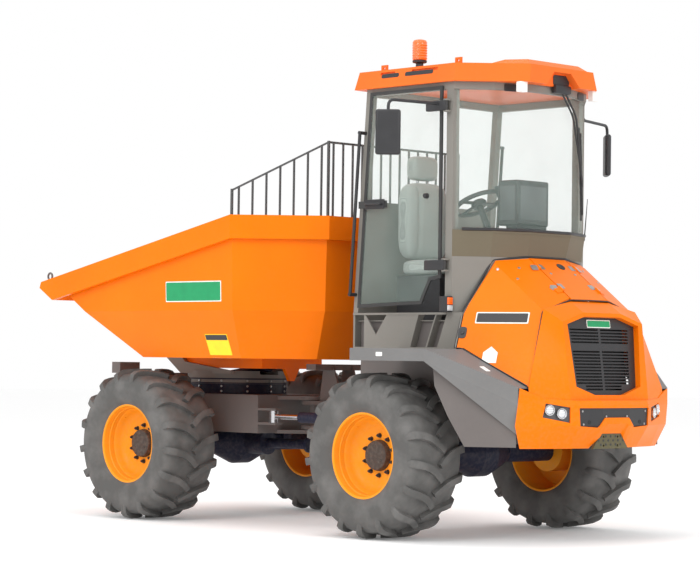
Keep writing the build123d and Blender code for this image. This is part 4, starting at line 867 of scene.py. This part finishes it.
def bolt(name: str, place: Vector, normal: Vector, radius: float, tall: float,
         sides: int = 6) -> Piece:
    """A bolt's head standing on a face, sunk a little into it."""
    foot, top = tuple(place - normal * 0.002), tuple(place + normal * tall)
    return Workshop.rod(name, foot, top, radius, radius * 0.94, sides, 0.001)


# ---------------------------------------------------------------- seat
@dataclass
class Seat:
    """The padded seat: cushion, back and headrest, with sewn channels."""

    body: str = "rear_chassis"
    cuts: int = 17
    soft: float = 4.2
    channel_depth: float = 0.17
    channel_width: float = 0.055
    crown: float = 0.05

    def build(self) -> None:
        """Makes the three pads."""
        low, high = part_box("seat_cushion")
        cushion = self.pad("seat_cushion_pad", low, high, 2, 1, (-0.52, 0.52))
        fit(cushion, self.body, SEAT_CLOTH, "seat_cushion")
        low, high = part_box("seat_back")
        back_high = Vector((high.x, high.y, low.z + 0.74 * (high.z - low.z)))
        back = self.pad("seat_back_pad", low, back_high, 0, 1, (-0.55, 0.55))
        fit(back, self.body, SEAT_CLOTH, "seat_back")
        rest_low = Vector((low.x + 0.035, low.y + 0.09, back_high.z + 0.02))
        rest = self.pad("headrest_pad", rest_low, Vector((high.x - 0.01, high.y - 0.09, high.z)), 0, 1, ())
        fit(rest, self.body, SEAT_CLOTH)
        middle, x = (low.y + high.y) / 2.0, low.x + 0.09
        foot, top = back_high.z - 0.06, rest_low.z + 0.04
        stems = [Workshop.rod(f"stem_{number}", (x, y, foot), (x, y, top), 0.007, sides=14)
                 for number, y in enumerate((middle - 0.06, middle + 0.06))]
        fit(Workshop.join("headrest_stems", stems), self.body, CHROME)

    def pad(self, name: str, low: Vector, high: Vector, thin: int, wide: int,
            channels: Sequence[float]) -> Piece:
        """A crowned pad in a box.

        Args:
            name: the pad's name.
            low: the box's lowest corner.
            high: the box's highest corner.
            thin: the axis across its thickness.
            wide: the axis that its channels are spaced along.
            channels: places of the sewn channels, from -1 to 1.

        Returns:
            The pad.
        """
        Workshop.clear()
        bpy.ops.mesh.primitive_cube_add(size=2.0)
        made = Workshop.settle(name)
        Workshop.edit(made, lambda: bpy.ops.mesh.subdivide(number_cuts=self.cuts))
        middle, half = (low + high) / 2.0, (high - low) / 2.0
        for vertex in made.data.vertices:
            unit = vertex.co.copy()
            reach = sum(abs(value) ** self.soft for value in unit) ** (1.0 / self.soft)
            unit /= reach
            for channel in channels:
                dip = self.channel_depth * math.exp(-((unit[wide] - channel) / self.channel_width) ** 2)
                unit[thin] *= 1.0 - dip
            along = 3 - thin - wide
            unit[wide] *= 1.0 - self.crown * (1.0 - unit[along] ** 2)
            vertex.co = Vector([centre + value * size for centre, value, size in zip(middle, unit, half)])
        return Workshop.round_edges(made, 0.0)


# ---------------------------------------------------------------- cab fittings
@dataclass
class CabFittings:
    """Beacon, mirrors, turn signals, door fittings, wiper, aerial, roof slots and notch in painted shade, and
    the driver's controls.
    """

    body: str = "rear_chassis"
    mirror_head: tuple[float, float, float] = (0.172, 0.046, 0.31)
    arm_height: float = 2.998
    arm_radius: float = 0.011
    wheel_centre: Point = (-1.16, 0.02, 2.36)
    wheel_radius: float = 0.177
    grip: float = 0.0155
    beacon_foot: tuple[Pair, ...] = (
        (-0.002, 0.0), (-0.002, 0.046), (0.006, 0.048), (0.012, 0.03), (0.045, 0.026), (0.052, 0.05),
        (0.066, 0.052), (0.07, 0.04), (0.07, 0.0))
    signal_reach: Pair = (0.698, 0.763)
    hinge_heights: Pair = (1.885, 2.985)
    pull_height: float = 2.325
    knob: Pair = (-1.307, 2.368)
    screen_out: Point = (-0.93, -0.36, 0.0)
    wiper_foot: Point = (-1.724, -0.436, 2.24)
    wiper_top: Point = (-1.748, -0.373, 2.9)
    wiper_motor: Point = (-1.858, -0.06, 3.13)
    wiper_elbow: Point = (-1.84, -0.21, 2.96)
    notch_from: Point = (BEHIND, -0.05, 3.196)
    aerial_from: Point = (BEHIND, -0.5, 2.1)
    roof_slot_shade: tuple[Pair, ...] = ((-0.94, 0.17), (-1.22, 0.27))  # x, width
    slot_height: float = 3.232
    lamp_plate: Pair = (0.366, 3.117)

    def build(self) -> None:
        """Makes them all."""
        self.beacon()
        for side in Side:
            self.mirror(side)
            self.turn_signal(side)
        self.door()
        self.wiper()
        self.vent_shade()
        self.controls()
        self.cab_lamps()

    def beacon(self) -> None:
        """A turning beacon: black foot, amber dome with rings."""
        low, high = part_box("beacon")
        foot = ((low.x + high.x) / 2.0, (low.y + high.y) / 2.0, low.z)
        fit(Workshop.spun("beacon_foot", self.beacon_foot, foot, ALONG_Z, 40), self.body, BLACK)
        rings = [(0.0705, 0.0), (0.0705, 0.05)]
        for number in range(6):
            place = 0.084 + 0.018 * number
            rings += [(place, 0.0545), (place + 0.009, 0.051)]
        tall = high.z - low.z
        rings += [(0.194, 0.053), (0.208, 0.046), (tall - 0.003, 0.026), (tall, 0.0)]
        fit(Workshop.spun("beacon_dome", rings, foot, ALONG_Z, 40), self.body, AMBER, "beacon")

    def mirror(self, side: Side) -> None:
        """A mirror's arm, shell and glass; the left one rides on the door.

        Args:
            side: the side of the machine.
        """
        name = side.name.lower()
        body = "door" if side is Side.LEFT else self.body
        low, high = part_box(f"mirror_{name}")
        wide, thick, tall = self.mirror_head
        shell = Workshop.block("mirror_shell", (-wide / 2, -thick / 2, -tall / 2),
                               (wide / 2, thick / 2, tall / 2), 0.0)
        Workshop.round_edges(shell, 0.018, 4)
        margin = 0.014
        glass = Workshop.block(f"mirror_{name}_glass",
                               (-wide / 2 + margin, thick / 2 - 0.002, -tall / 2 + margin),
                               (wide / 2 - margin, thick / 2 + 0.0015, tall / 2 - margin), 0.0)
        outer = high.y if side is Side.LEFT else low.y
        reach = outer - side.value * 0.081
        centre = Vector((low.x + 0.096 if side is Side.LEFT else high.x - 0.081, reach, low.z + tall / 2.0))
        turn = Matrix.Translation(centre) @ Matrix.Rotation(side.value * math.radians(-135.0), 4, "Z")
        for part in (shell, glass):
            part.data.transform(turn)
        foot_y = low.y if side is Side.LEFT else high.y
        foot_x = low.x + 0.022 if side is Side.LEFT else low.x + 0.026
        arm = Workshop.tube("mirror_arm", ((foot_x, foot_y + side.value * 0.012, self.arm_height),
                                           (centre.x, centre.y, self.arm_height),
                                           (centre.x, centre.y, centre.z)), self.arm_radius, 0.05)
        foot = Workshop.rod("mirror_foot", (foot_x, foot_y, self.arm_height),
                            (foot_x, foot_y + side.value * 0.03, self.arm_height), 0.02)
        fit(Workshop.join(f"mirror_{name}_full", [shell, arm, foot]), body, BLACK, f"mirror_{name}")
        fit(glass, body, MIRROR)

    def turn_signal(self, side: Side) -> None:
        """A dark housing with an amber lens over a clear one.

        Args:
            side: the side of the machine.
        """
        name = side.name.lower()
        inner, outer = sorted(side.value * reach for reach in self.signal_reach)
        fit(Workshop.block(f"signal_{name}_housing", (-1.549, inner, 1.562), (-1.478, outer, 1.67), 0.006),
            self.body, BLACK)
        for lens, finish, low_z, high_z in (("amber", AMBER, 1.612, 1.662), ("clear", CLEAR, 1.57, 1.608)):
            piece = Workshop.block(f"signal_{name}_{lens}", (-1.556, inner + 0.007, low_z),
                                   (-1.545, outer - 0.007, high_z), 0.004)
            fit(piece, self.body, finish)

    def door(self) -> None:
        """Lock plate, outer pull, inner knob and hinge covers of the door."""
        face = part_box("door_frame")[1].y
        plate = Workshop.block("door_lock_plate", (-0.93, face - 0.004, 2.29),
                               (-0.74, face + 0.008, 2.36), 0.004)
        loop = [(x, face + out, self.pull_height) for x, out in
                ((-0.91, 0.0), (-0.91, 0.034), (-0.77, 0.034), (-0.77, 0.0))]
        pull = Workshop.tube("door_pull", loop, 0.009, 0.02)
        knob_x, knob_z = self.knob
        knob = Workshop.rod("door_knob", (knob_x, 0.713, knob_z), (knob_x, 0.742, knob_z), 0.02, 0.016)
        parts = [plate, pull, knob]
        for number, z in enumerate(self.hinge_heights):
            parts.append(Workshop.block(f"door_hinge_cover_{number}", (-1.5, face - 0.03, z - 0.035),
                                        (-1.32, face + 0.004, z + 0.035), 0.006))
        fit(Workshop.join("door_fittings", parts), "door", BLACK)

    def wiper(self) -> None:
        """The wiper of the screen over the hood with its motor, a dark card of painted shade in the roof's
        notch, and the aerial.
        """
        out = Vector(self.screen_out)
        glass_low, _ = touch("cab_glass", tuple(Vector(self.wiper_foot) + out * 0.3), tuple(-out))
        glass_high, _ = touch("cab_glass", tuple(Vector(self.wiper_top) + out * 0.3), tuple(-out))
        blade = [Workshop.rod("wiper_blade", tuple(glass_low + out * 0.008),
                              tuple(glass_high + out * 0.008), 0.006),
                 Workshop.rod("wiper_spine", tuple(glass_low.lerp(glass_high, 0.06) + out * 0.02),
                              tuple(glass_low.lerp(glass_high, 0.94) + out * 0.02), 0.005)]
        middle = glass_low.lerp(glass_high, 0.42) + out * 0.024
        motor = Vector(self.wiper_motor)
        for number, drop in enumerate((0.0, 0.035)):
            start = motor + Vector((0.0, -0.04 * number, -0.01))
            elbow_x, elbow_y, elbow_z = self.wiper_elbow
            line = (tuple(start), (elbow_x, elbow_y - drop, elbow_z),
                    tuple(middle + Vector((0.0, 0.0, -drop))))
            blade.append(Workshop.tube("wiper_arm", line, 0.007, 0.05))
        blade.append(Workshop.block("wiper_motor", (-1.885, -0.14, 3.105), (-1.84, 0.03, 3.165), 0.012))
        # The roof's notch gets a flat dark card: painted shade.
        place, normal = touch("roof", self.notch_from, FORWARDS)
        blade.append(card("roof_notch_shade", place, normal, (0.17, 0.075), 0.003, 0.02))
        foot, _ = touch("cowl", self.aerial_from, FORWARDS)
        blade.append(Workshop.rod("aerial", tuple(foot), tuple(foot + Vector((-0.01, -0.02, 0.3))),
                                  0.005, 0.0025, 10))
        fit(Workshop.join("wiper_and_aerial", blade), self.body, BLACK)

    def vent_shade(self) -> None:
        """Dark cards in the roof's side slots: painted shade inside them."""
        inserts = []
        for side in Side:
            for x, wide in self.roof_slot_shade:
                place, normal = touch("roof", (x, side.value * 1.5, self.slot_height),
                                      (0.0, -side.value, 0.0))
                inserts.append(card(f"roof_slot_{side.name}_{x}", place, normal, (wide, 0.03), 0.0015, 0.012))
        fit(Workshop.join("roof_slot_shade", inserts), self.body, BLACK)

    def controls(self) -> None:
        """The steering wheel's moulded rim and hub, and the console's head with its screen."""
        axis = Vector((0.5, 0.0, 1.0)).normalized()
        centre = Vector(self.wheel_centre)
        grip = wire_section(self.wheel_radius, self.grip, 12)
        rim = Workshop.spun("wheel_rim", grip, tuple(centre), tuple(axis), 48)
        boss = ((-0.03, 0.0), (-0.03, 0.05), (0.0, 0.058), (0.018, 0.045), (0.024, 0.0))
        hub = Workshop.spun("wheel_hub", boss, tuple(centre), tuple(axis), 32)
        fit(Workshop.join("steering_wheel", [rim, hub]), self.body, BLACK)
        head = Workshop.block("console_head", (-1.572, -0.272, 2.19), (-1.385, 0.072, 2.512), 0.0)
        Workshop.round_edges(head, 0.014, 3)
        fit(head, self.body, BLACK)
        for name, low, high in (("screen_side", (-1.55, 0.07, 2.23), (-1.41, 0.074, 2.47)),
                                ("screen_back", (-1.5745, -0.24, 2.23), (-1.571, 0.04, 2.47))):
            fit(Workshop.block(f"console_{name}", low, high, 0.001), self.body, SCREEN_GREY)

    def cab_lamps(self) -> None:
        """Dark plates on the cab frame behind the lamps over that screen."""
        strips = []
        for side in Side:
            y, z = self.lamp_plate
            place, normal = touch("cab_frame", (-2.6, side.value * y, z), FORWARDS)
            strips.append(card(f"lamp_back_{side.name}", place, normal, (0.12, 0.05), 0.006, 0.008))
        fit(Workshop.join("lamp_backs", strips), self.body, BLACK)


# ---------------------------------------------------------------- hood and bumper
@dataclass
class HoodFittings:
    """Rivets, hinges, latches, plates, radiator core, lamps, screws and the hitch plate's holes in painted
    shade.
    """

    body: str = "rear_chassis"
    rivets: tuple[tuple[str, float, float], ...] = (  # node, x, y
        ("hood_top", -1.869, 0.162), ("hood_top", -1.94, 0.129), ("hood_top", -2.06, 0.165),
        ("hood_side", -1.833, 0.341), ("hood_side", -2.053, 0.258), ("hood_side", -1.77, 0.49),
        ("hood_side", -1.9, 0.43))
    hinges: tuple[float, ...] = (-1.88, -2.06)
    lamp_places: tuple[Point, ...] = ((-2.325, 0.577, 0.907), (-2.36, 0.494, 0.884))
    bezel: tuple[Pair, ...] = ((0.0, 0.031), (0.0, 0.0375), (0.012, 0.0365), (0.014, 0.033),
                               (0.009, 0.029), (0.002, 0.0285))
    lens: tuple[Pair, ...] = ((0.003, 0.0), (0.003, 0.0285), (0.009, 0.027), (0.0135, 0.018), (0.015, 0.0))
    screw_places: tuple[Pair, ...] = ((0.335, 0.9), (0.325, 0.812), (0.11, 0.865))
    hole_rows: tuple[tuple[float, int], ...] = ((0.672, 5), (0.7, 6), (0.728, 5))  # z, count
    hole_pitch: float = 0.052

    def build(self) -> None:
        """Makes them all."""
        for side in Side:
            self.side_fittings(side)
            self.lamps(side)
        self.core()
        self.plates()
        self.screws()

    def side_fittings(self, side: Side) -> None:
        """Rivets, hinge leaves and latch of one side.

        Args:
            side: the side of the machine.
        """
        name = side.name.lower()
        fixed, moving = [], []
        for node, x, y in self.rivets:
            on_side = node == "hood_side"
            wanted = f"hood_side_{name}" if on_side else node
            place, normal = touch(wanted, (x, side.value * y, ABOVE), DOWN)
            (moving if on_side else fixed).append(bolt("rivet", place, normal, 0.011, 0.004, 12))
        for x in self.hinges:
            for node, y, row in (("hood_top", 0.165, fixed), (f"hood_side_{name}", 0.235, moving)):
                place, normal = touch(node, (x, side.value * y, ABOVE), DOWN)
                row.append(card("hinge_leaf", place, normal, (0.05, 0.055), 0.003, 0.008))
        place, normal = touch(f"hood_side_{name}", (-1.68, side.value * BESIDE, 1.42),
                              (0.0, -side.value, 0.0))
        latch = [card("latch_cup", place, normal, (0.06, 0.085), 0.004, 0.02),
                 bolt("latch_lock", place, normal, 0.016, 0.01, 20)]
        fit(Workshop.join(f"hood_{name}_latch", latch), f"hood_side_{name}", BLACK)
        fit(Workshop.join(f"hood_{name}_rivets", moving), f"hood_side_{name}", BOLT_STEEL)
        fit(Workshop.join(f"hood_top_rivets_{name}", fixed), self.body, BOLT_STEEL)

    def lamps(self, side: Side) -> None:
        """Bezels and lenses of one side's two headlamps.

        Args:
            side: the side of the machine.
        """
        name = side.name.lower()
        out = Vector((-0.925, side.value * 0.38, 0.0)).normalized()
        bezels, lenses = [], []
        for x, y, z in self.lamp_places:
            place = Vector((x, side.value * y, z)) - out * 0.006
            for name_of, profile, row in (("bezel", self.bezel, bezels), ("lens", self.lens, lenses)):
                row.append(Workshop.spun(name_of, profile, tuple(place), tuple(out), 32))
        fit(Workshop.join(f"headlamp_{name}_bezels", bezels), self.body, CHROME)
        fit(Workshop.join(f"headlamp_{name}_lenses", lenses), self.body, CLEAR)

    def core(self) -> None:
        """The radiator's finned core behind the grille."""
        low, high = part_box("grille")
        lean = 0.1333
        foot, top, half = low.z + 0.03, high.z - 0.04, 0.31
        back = [(low.x + 0.05 + lean * (z - low.z), y, z)
                for y, z in ((half, foot), (half, top), (-half, top), (-half, foot))]
        fit(Workshop.plate("radiator_core", back, 0.012), self.body, CORE)

    def plates(self) -> None:
        """Blank plates and labels, each bordered one over a paler one."""
        # name, node, body, finish, start, towards, width, height, lift
        pale = LABEL_WHITE
        for name, node, body, finish, start, towards, wide, tall, lift in (
                ("hood_plate_edge", "hood_side_left", "hood_side_left", pale, (-1.917, BESIDE, 1.522), "side",
                 0.385, 0.085, 0.0),
                ("hood_plate", "hood_side_left", "hood_side_left", BLACK, (-1.917, BESIDE, 1.522), "side",
                 0.367, 0.067, 0.002),
                ("deck_taper_label", "decks", self.body, pale, (-1.994, 0.856, ABOVE), "down", 0.045, 0.07,
                 0.0),
                ("deck_edge_label", "decks", self.body, pale, (-1.308, BESIDE, 1.267), "side", 0.06, 0.028,
                 0.0),
                ("skip_sign_edge", "skip_shell", "skip", pale, (0.651, 1.8, 1.715), "side", 0.62, 0.152, 0.0),
                ("skip_sign", "skip_shell", "skip", SIGN_GREEN, (0.651, 1.8, 1.715), "side", 0.604, 0.136,
                 0.002),
                ("skip_notice", "skip_shell", "skip", SIGN_YELLOW, (0.48, 1.8, 1.325), "side", 0.245, 0.165,
                 0.0),
                ("skip_notice_head", "skip_shell", "skip", BLACK, (0.48, 1.8, 1.378), "side", 0.233, 0.04,
                 0.002),
                ("grille_badge_edge", "grille", self.body, pale, (BEHIND, 0.0, 1.492), "front", 0.25, 0.054,
                 0.0),
                ("grille_badge", "grille", self.body, SIGN_GREEN, (BEHIND, 0.0, 1.492), "front", 0.238, 0.042,
                 0.002)):
            way = {"side": (0.0, -1.0, 0.0), "down": DOWN, "front": FORWARDS}[towards]
            place, normal = touch(node, start, way)
            fit(card(name, place + normal * lift, normal, (wide, tall)), body, finish)
        place, normal = touch("hood_side_left", (-1.92, BESIDE, 1.27), (0.0, -1.0, 0.0))
        across, rise = level_axes(normal)
        house = [tuple(place + across * right + rise * up) for right, up in
                 ((-0.052, -0.06), (0.052, -0.06), (0.052, 0.018), (0.0, 0.062), (-0.052, 0.018))]
        fit(Workshop.plate("hood_label", house, 0.002), "hood_side_left", pale)

    def screws(self) -> None:
        """Screws of the bumper's insert and dark discs for the hitch plate's holes, their dark painted shade.
        """
        heads = []
        for side in Side:
            for y, z in self.screw_places:
                place, normal = touch("bumper_insert", (BEHIND, side.value * y, z), FORWARDS)
                heads.append(bolt("screw", place, normal, 0.008, 0.004, 12))
        fit(Workshop.join("insert_screws", heads), self.body, BOLT_STEEL)
        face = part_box("hitch_plate")[0].x
        # Each hole is a dark disc on the plate's face: painted shade.
        holes = []
        for z, count in self.hole_rows:
            for number in range(count):
                y = self.hole_pitch * (number - (count - 1) / 2.0)
                holes.append(Workshop.rod("hole", (face + 0.002, y, z), (face - 0.0012, y, z), 0.0085,
                                          sides=14, edge=0.0))
        fit(Workshop.join("hitch_plate_hole_shade", holes), self.body, BLACK)


# ---------------------------------------------------------------- skip and slew ring
@dataclass
class SkipFittings:
    """Three rows of bolts round the slew ring."""

    ring_radius: float = 0.39
    bolts: int = 12

    def build(self) -> None:
        """Makes them all."""
        low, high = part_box("slew_ring_lower")
        x = (low.x + high.x) / 2.0
        for name, body, z in (("ring_bolts_low", "front_chassis", low.z + 0.02),
                              ("ring_bolts_mid", "front_chassis", high.z - 0.018),
                              ("ring_bolts_high", "turntable", high.z + 0.024)):
            head = Workshop.rod("ring_bolt", (x + self.ring_radius - 0.003, 0.0, z),
                                (x + self.ring_radius + 0.009, 0.0, z), 0.0095, sides=6)
            fit(Workshop.ring(name, head, self.bolts, (x, 0.0, z), ALONG_Z), body, BOLT_STEEL)


# ---------------------------------------------------------------- trims
@dataclass
class Trims:
    """Seals, the screen's ledge, the hood's cap, the painted shade in the bumper's holes, ring bands and the
    lip's eyes.
    """

    body: str = "rear_chassis"
    seal: float = 0.008
    seam: float = 0.0045
    ledge_height: float = 2.122
    low_rims: tuple[Pair, ...] = ((0.002, 0.01), (0.034, 0.044), (0.068, 0.077))
    high_rims: tuple[Pair, ...] = ((0.080, 0.088), (0.112, 0.122))
    rear_edge: tuple[Point, ...] = ((-1.655, 0.788, 1.318), (-1.624, 0.676, 1.572), (-1.698, 0.464, 1.926),
                                    (-1.786, 0.204, 1.956), (-1.786, -0.002, 1.956))
    front_edge: tuple[Point, ...] = ((-2.240, 0.700, 1.062), (-2.246, 0.690, 1.075), (-2.172, 0.482, 1.571),
                                     (-2.180, 0.204, 1.652), (-2.181, -0.002, 1.654))
    deck_edge: tuple[Point, ...] = ((-2.236, 0.705, 1.066), (-1.715, 0.788, 1.313), (-1.655, 0.790, 1.316))

    def build(self) -> None:
        """Makes them all."""
        self.seals()
        self.ledge()
        self.hood_cap()
        self.insert_hole_shade()
        self.ring_bands()
        self.lip_eyes()

    def seals(self) -> None:
        """The dark lines round both hood sides."""
        lines = []
        for side in Side:
            for edge, radius in ((self.rear_edge, self.seal), (self.front_edge, self.seam),
                                 (self.deck_edge, self.seam)):
                line = [(x, side.value * y, z) for x, y, z in edge]
                lines.append(Workshop.tube("seal", line, radius, 0.02))
        fit(Workshop.join("hood_seals", lines), self.body, BLACK)

    def ledge(self) -> None:
        """The black ledge that the screen stands on."""
        points = []
        for step in range(-13, 14):
            place, _ = touch("cowl", (BEHIND, 0.05 * step, self.ledge_height), FORWARDS)
            points.append((place.x + 0.002, place.y, self.ledge_height + 0.012))
        fit(Workshop.tube("screen_ledge", points, 0.011, 0.004), self.body, BLACK)

    def hood_cap(self) -> None:
        """The round cap on the hood's middle panel."""
        place, normal = touch("hood_top", (-1.868, -0.06, ABOVE), DOWN)
        disc = ((-0.002, 0.0), (-0.002, 0.034), (0.003, 0.034), (0.005, 0.031), (0.003, 0.026), (0.003, 0.0))
        fit(Workshop.spun("hood_cap", disc, tuple(place), tuple(normal), 40), self.body, BLACK)

    def insert_hole_shade(self) -> None:
        """Two round cups low on the bumper's insert, dark inside: painted shade in its holes."""
        holes = []
        for side in Side:
            place, normal = touch("bumper_insert", (BEHIND, side.value * 0.269, 0.826), FORWARDS)
            cup = ((-0.002, 0.0), (-0.002, 0.014), (0.002, 0.014), (0.002, 0.011), (0.0008, 0.0105),
                   (0.0008, 0.0))
            holes.append(Workshop.spun("insert_hole", cup, tuple(place), tuple(normal), 24))
        fit(Workshop.join("insert_hole_shade", holes), self.body, CORE)

    def ring_bands(self) -> None:
        """The slew ring's raised rims."""
        low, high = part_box("slew_ring_lower")
        centre = ((low.x + high.x) / 2.0, 0.0, low.z)
        radius = (high.x - low.x) / 2.0
        inner, outer = radius - 0.002, radius + 0.006
        for name, body, bands in (("ring_rims_low", "front_chassis", self.low_rims),
                                  ("ring_rims_high", "turntable", self.high_rims)):
            rims = [Workshop.spun("rim_band", ((foot, inner), (foot, outer), (top, outer), (top, inner)),
                                  centre, ALONG_Z, 72) for foot, top in bands]
            fit(Workshop.join(name, rims), body, RING_NAVY)

    def lip_eyes(self) -> None:
        """The lifting eyes at the lip's two ends."""
        eyes = []
        for side in Side:
            place, _ = touch("skip_shell", (2.34, side.value * 1.17, 3.0), DOWN)
            ring = wire_section(0.026, 0.008, 8)
            eyes.append(Workshop.spun("lip_eye", ring, (place.x, place.y, place.z + 0.027), ALONG_Y, 32))
        fit(Workshop.join("lip_eyes", eyes), "skip", FRAME_DARK)


NODE_FINISH: dict[str, Finish] = {
    **{name: ORANGE for name in ("skip_shell", "skip_underframe", "hood_top", "hood_side_left",
                                 "hood_side_right", "grille_frame", "bumper")},
    "roof": ROOF_ORANGE,
    **{f"rim_{place}": RIM_ORANGE for place in CORNERS}, **{f"tyre_{place}": TYRE for place in CORNERS},
    **{name: CAB_GREY for name in ("cab_base", "cab_frame", "turntable")}, "door_frame": DOOR_DARK,
    "decks": DECK_GREY, "cowl": COWL_GREY, "skip_guard": GUARD_GREY, "grab_rails": BLACK,
    **{name: FRAME_DARK for name in ("rear_frame", "front_frame", "side_panels", "front_lamps")},
    "hitch_plate": OLIVE,
    **{name: RING_NAVY for name in ("slew_ring_lower", "rear_axle", "front_axle", "tip_barrel",
                                    "steer_barrel_left", "steer_barrel_right", "engine_block")},
    **{name: CHROME for name in ("tip_rod", "steer_rod_left", "steer_rod_right")},
    **{name: GLASS for name in ("cab_glass", "door_glass")},
    **{name: BLACK for name in ("grille", "mirror_left", "mirror_right", "console", "seat_base")},
    "seat_cushion": SEAT_CLOTH, "seat_back": SEAT_CLOTH, "beacon": AMBER, "work_lights": LABEL_WHITE,
    "bumper_insert": BLACK, "headlamps": SCREEN_GREY,
}


def dress_frame() -> None:
    """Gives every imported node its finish."""
    for name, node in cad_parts.items():
        finish = NODE_FINISH.get(name, BLACK)
        node.data.materials.clear()
        node.data.materials.append(finish.material())
        log.info("%s wears %s", name, finish.name)


@dataclass
class Studio:
    """The pale floor, the soft lights and the camera, given by its place and directions."""

    eye: Vector = field(default_factory=lambda: Vector((-12.766, 12.774, 1.2145)))
    right: Vector = field(default_factory=lambda: Vector((-0.70301, -0.71106, 0.01308)))
    up: Vector = field(default_factory=lambda: Vector((-0.01148, 0.02974, 0.99949)))
    forward: Vector = field(default_factory=lambda: Vector((0.71109, -0.70250, 0.02907)))
    lens: float = 123.5
    floor_half: float = 60.0
    paper: float = 0.93
    paper_glow: float = 0.12
    air: float = 0.92  # the surround's strength as light; the camera sees it at 1

    def set_up(self) -> None:
        """Builds all of it."""
        self.floor()
        self.lights()
        self.camera()

    def floor(self) -> None:
        """A wide plain floor that gives a little light of its own."""
        bpy.ops.object.select_all(action="DESELECT")
        bpy.ops.mesh.primitive_plane_add(size=2.0 * self.floor_half, location=(0.0, 0.0, -0.002))
        ground = bpy.context.active_object
        ground.name = "studio_floor"
        bpy.ops.object.transform_apply(location=True, rotation=True, scale=True)
        plain = bpy.data.materials.new("studio_floor_paper")
        plain.use_nodes = True
        shader = plain.node_tree.nodes["Principled BSDF"]
        shader.inputs["Base Color"].default_value = rgb(self.paper, self.paper, self.paper)
        shader.inputs["Emission Color"].default_value = rgb(1.0, 1.0, 1.0)
        shader.inputs["Emission Strength"].default_value = self.paper_glow
        shader.inputs["Roughness"].default_value = 0.9
        ground.data.materials.append(plain)

    def lights(self) -> None:
        """A white surround, a little brighter to the camera than as light, and large soft lamps."""
        world = bpy.data.worlds.new("studio_air")
        bpy.context.scene.world = world
        world.use_nodes = True
        nodes, links = world.node_tree.nodes, world.node_tree.links
        sky = nodes["Background"]
        sky.inputs[0].default_value = rgb(1.0, 1.0, 1.0)
        seen = nodes.new("ShaderNodeLightPath")
        strength = nodes.new("ShaderNodeMapRange")
        strength.inputs["To Min"].default_value = self.air
        strength.inputs["To Max"].default_value = 1.0
        links.new(seen.outputs["Is Camera Ray"], strength.inputs["Value"])
        links.new(strength.outputs["Result"], sky.inputs[1])
        for name, place, target, size, power in (
                ("key_lamp", (-3.0, 13.0, 11.0), (0.0, 0.0, 1.2), 7.0, 800.0),
                ("rear_lamp", (-15.0, 2.0, 8.0), (-1.0, 0.0, 1.5), 6.0, 420.0),
                ("top_lamp", (1.0, 1.0, 12.0), ORIGIN, 8.0, 420.0)):
            bpy.ops.object.light_add(type="AREA", location=place)
            lamp = bpy.context.active_object
            lamp.name = name
            lamp.data.size = size
            lamp.data.energy = power
            lamp.rotation_euler = (Vector(target) - Vector(place)).to_track_quat("-Z", "Y").to_euler()

    def camera(self) -> None:
        """The camera, by its own three directions."""
        bpy.ops.object.camera_add()
        view = bpy.context.active_object
        view.name = "studio_camera"
        turn = Matrix((self.right, self.up, -self.forward)).transposed()
        view.matrix_world = Matrix.Translation(self.eye) @ turn.to_4x4()
        view.data.sensor_width = 36.0
        view.data.lens = self.lens
        view.data.clip_end = 200.0
        bpy.context.scene.camera = view
        bpy.context.scene.view_settings.view_transform = "Standard"


def main() -> None:
    """Builds everything in order."""
    logging.basicConfig(level=logging.INFO, format="%(name)s: %(message)s")
    dress_frame()
    for group in (Wheels(), Seat(), CabFittings(), HoodFittings(), SkipFittings(), Trims()):
        group.build()
    Studio().set_up()


if __name__ == "__main__":
    main()
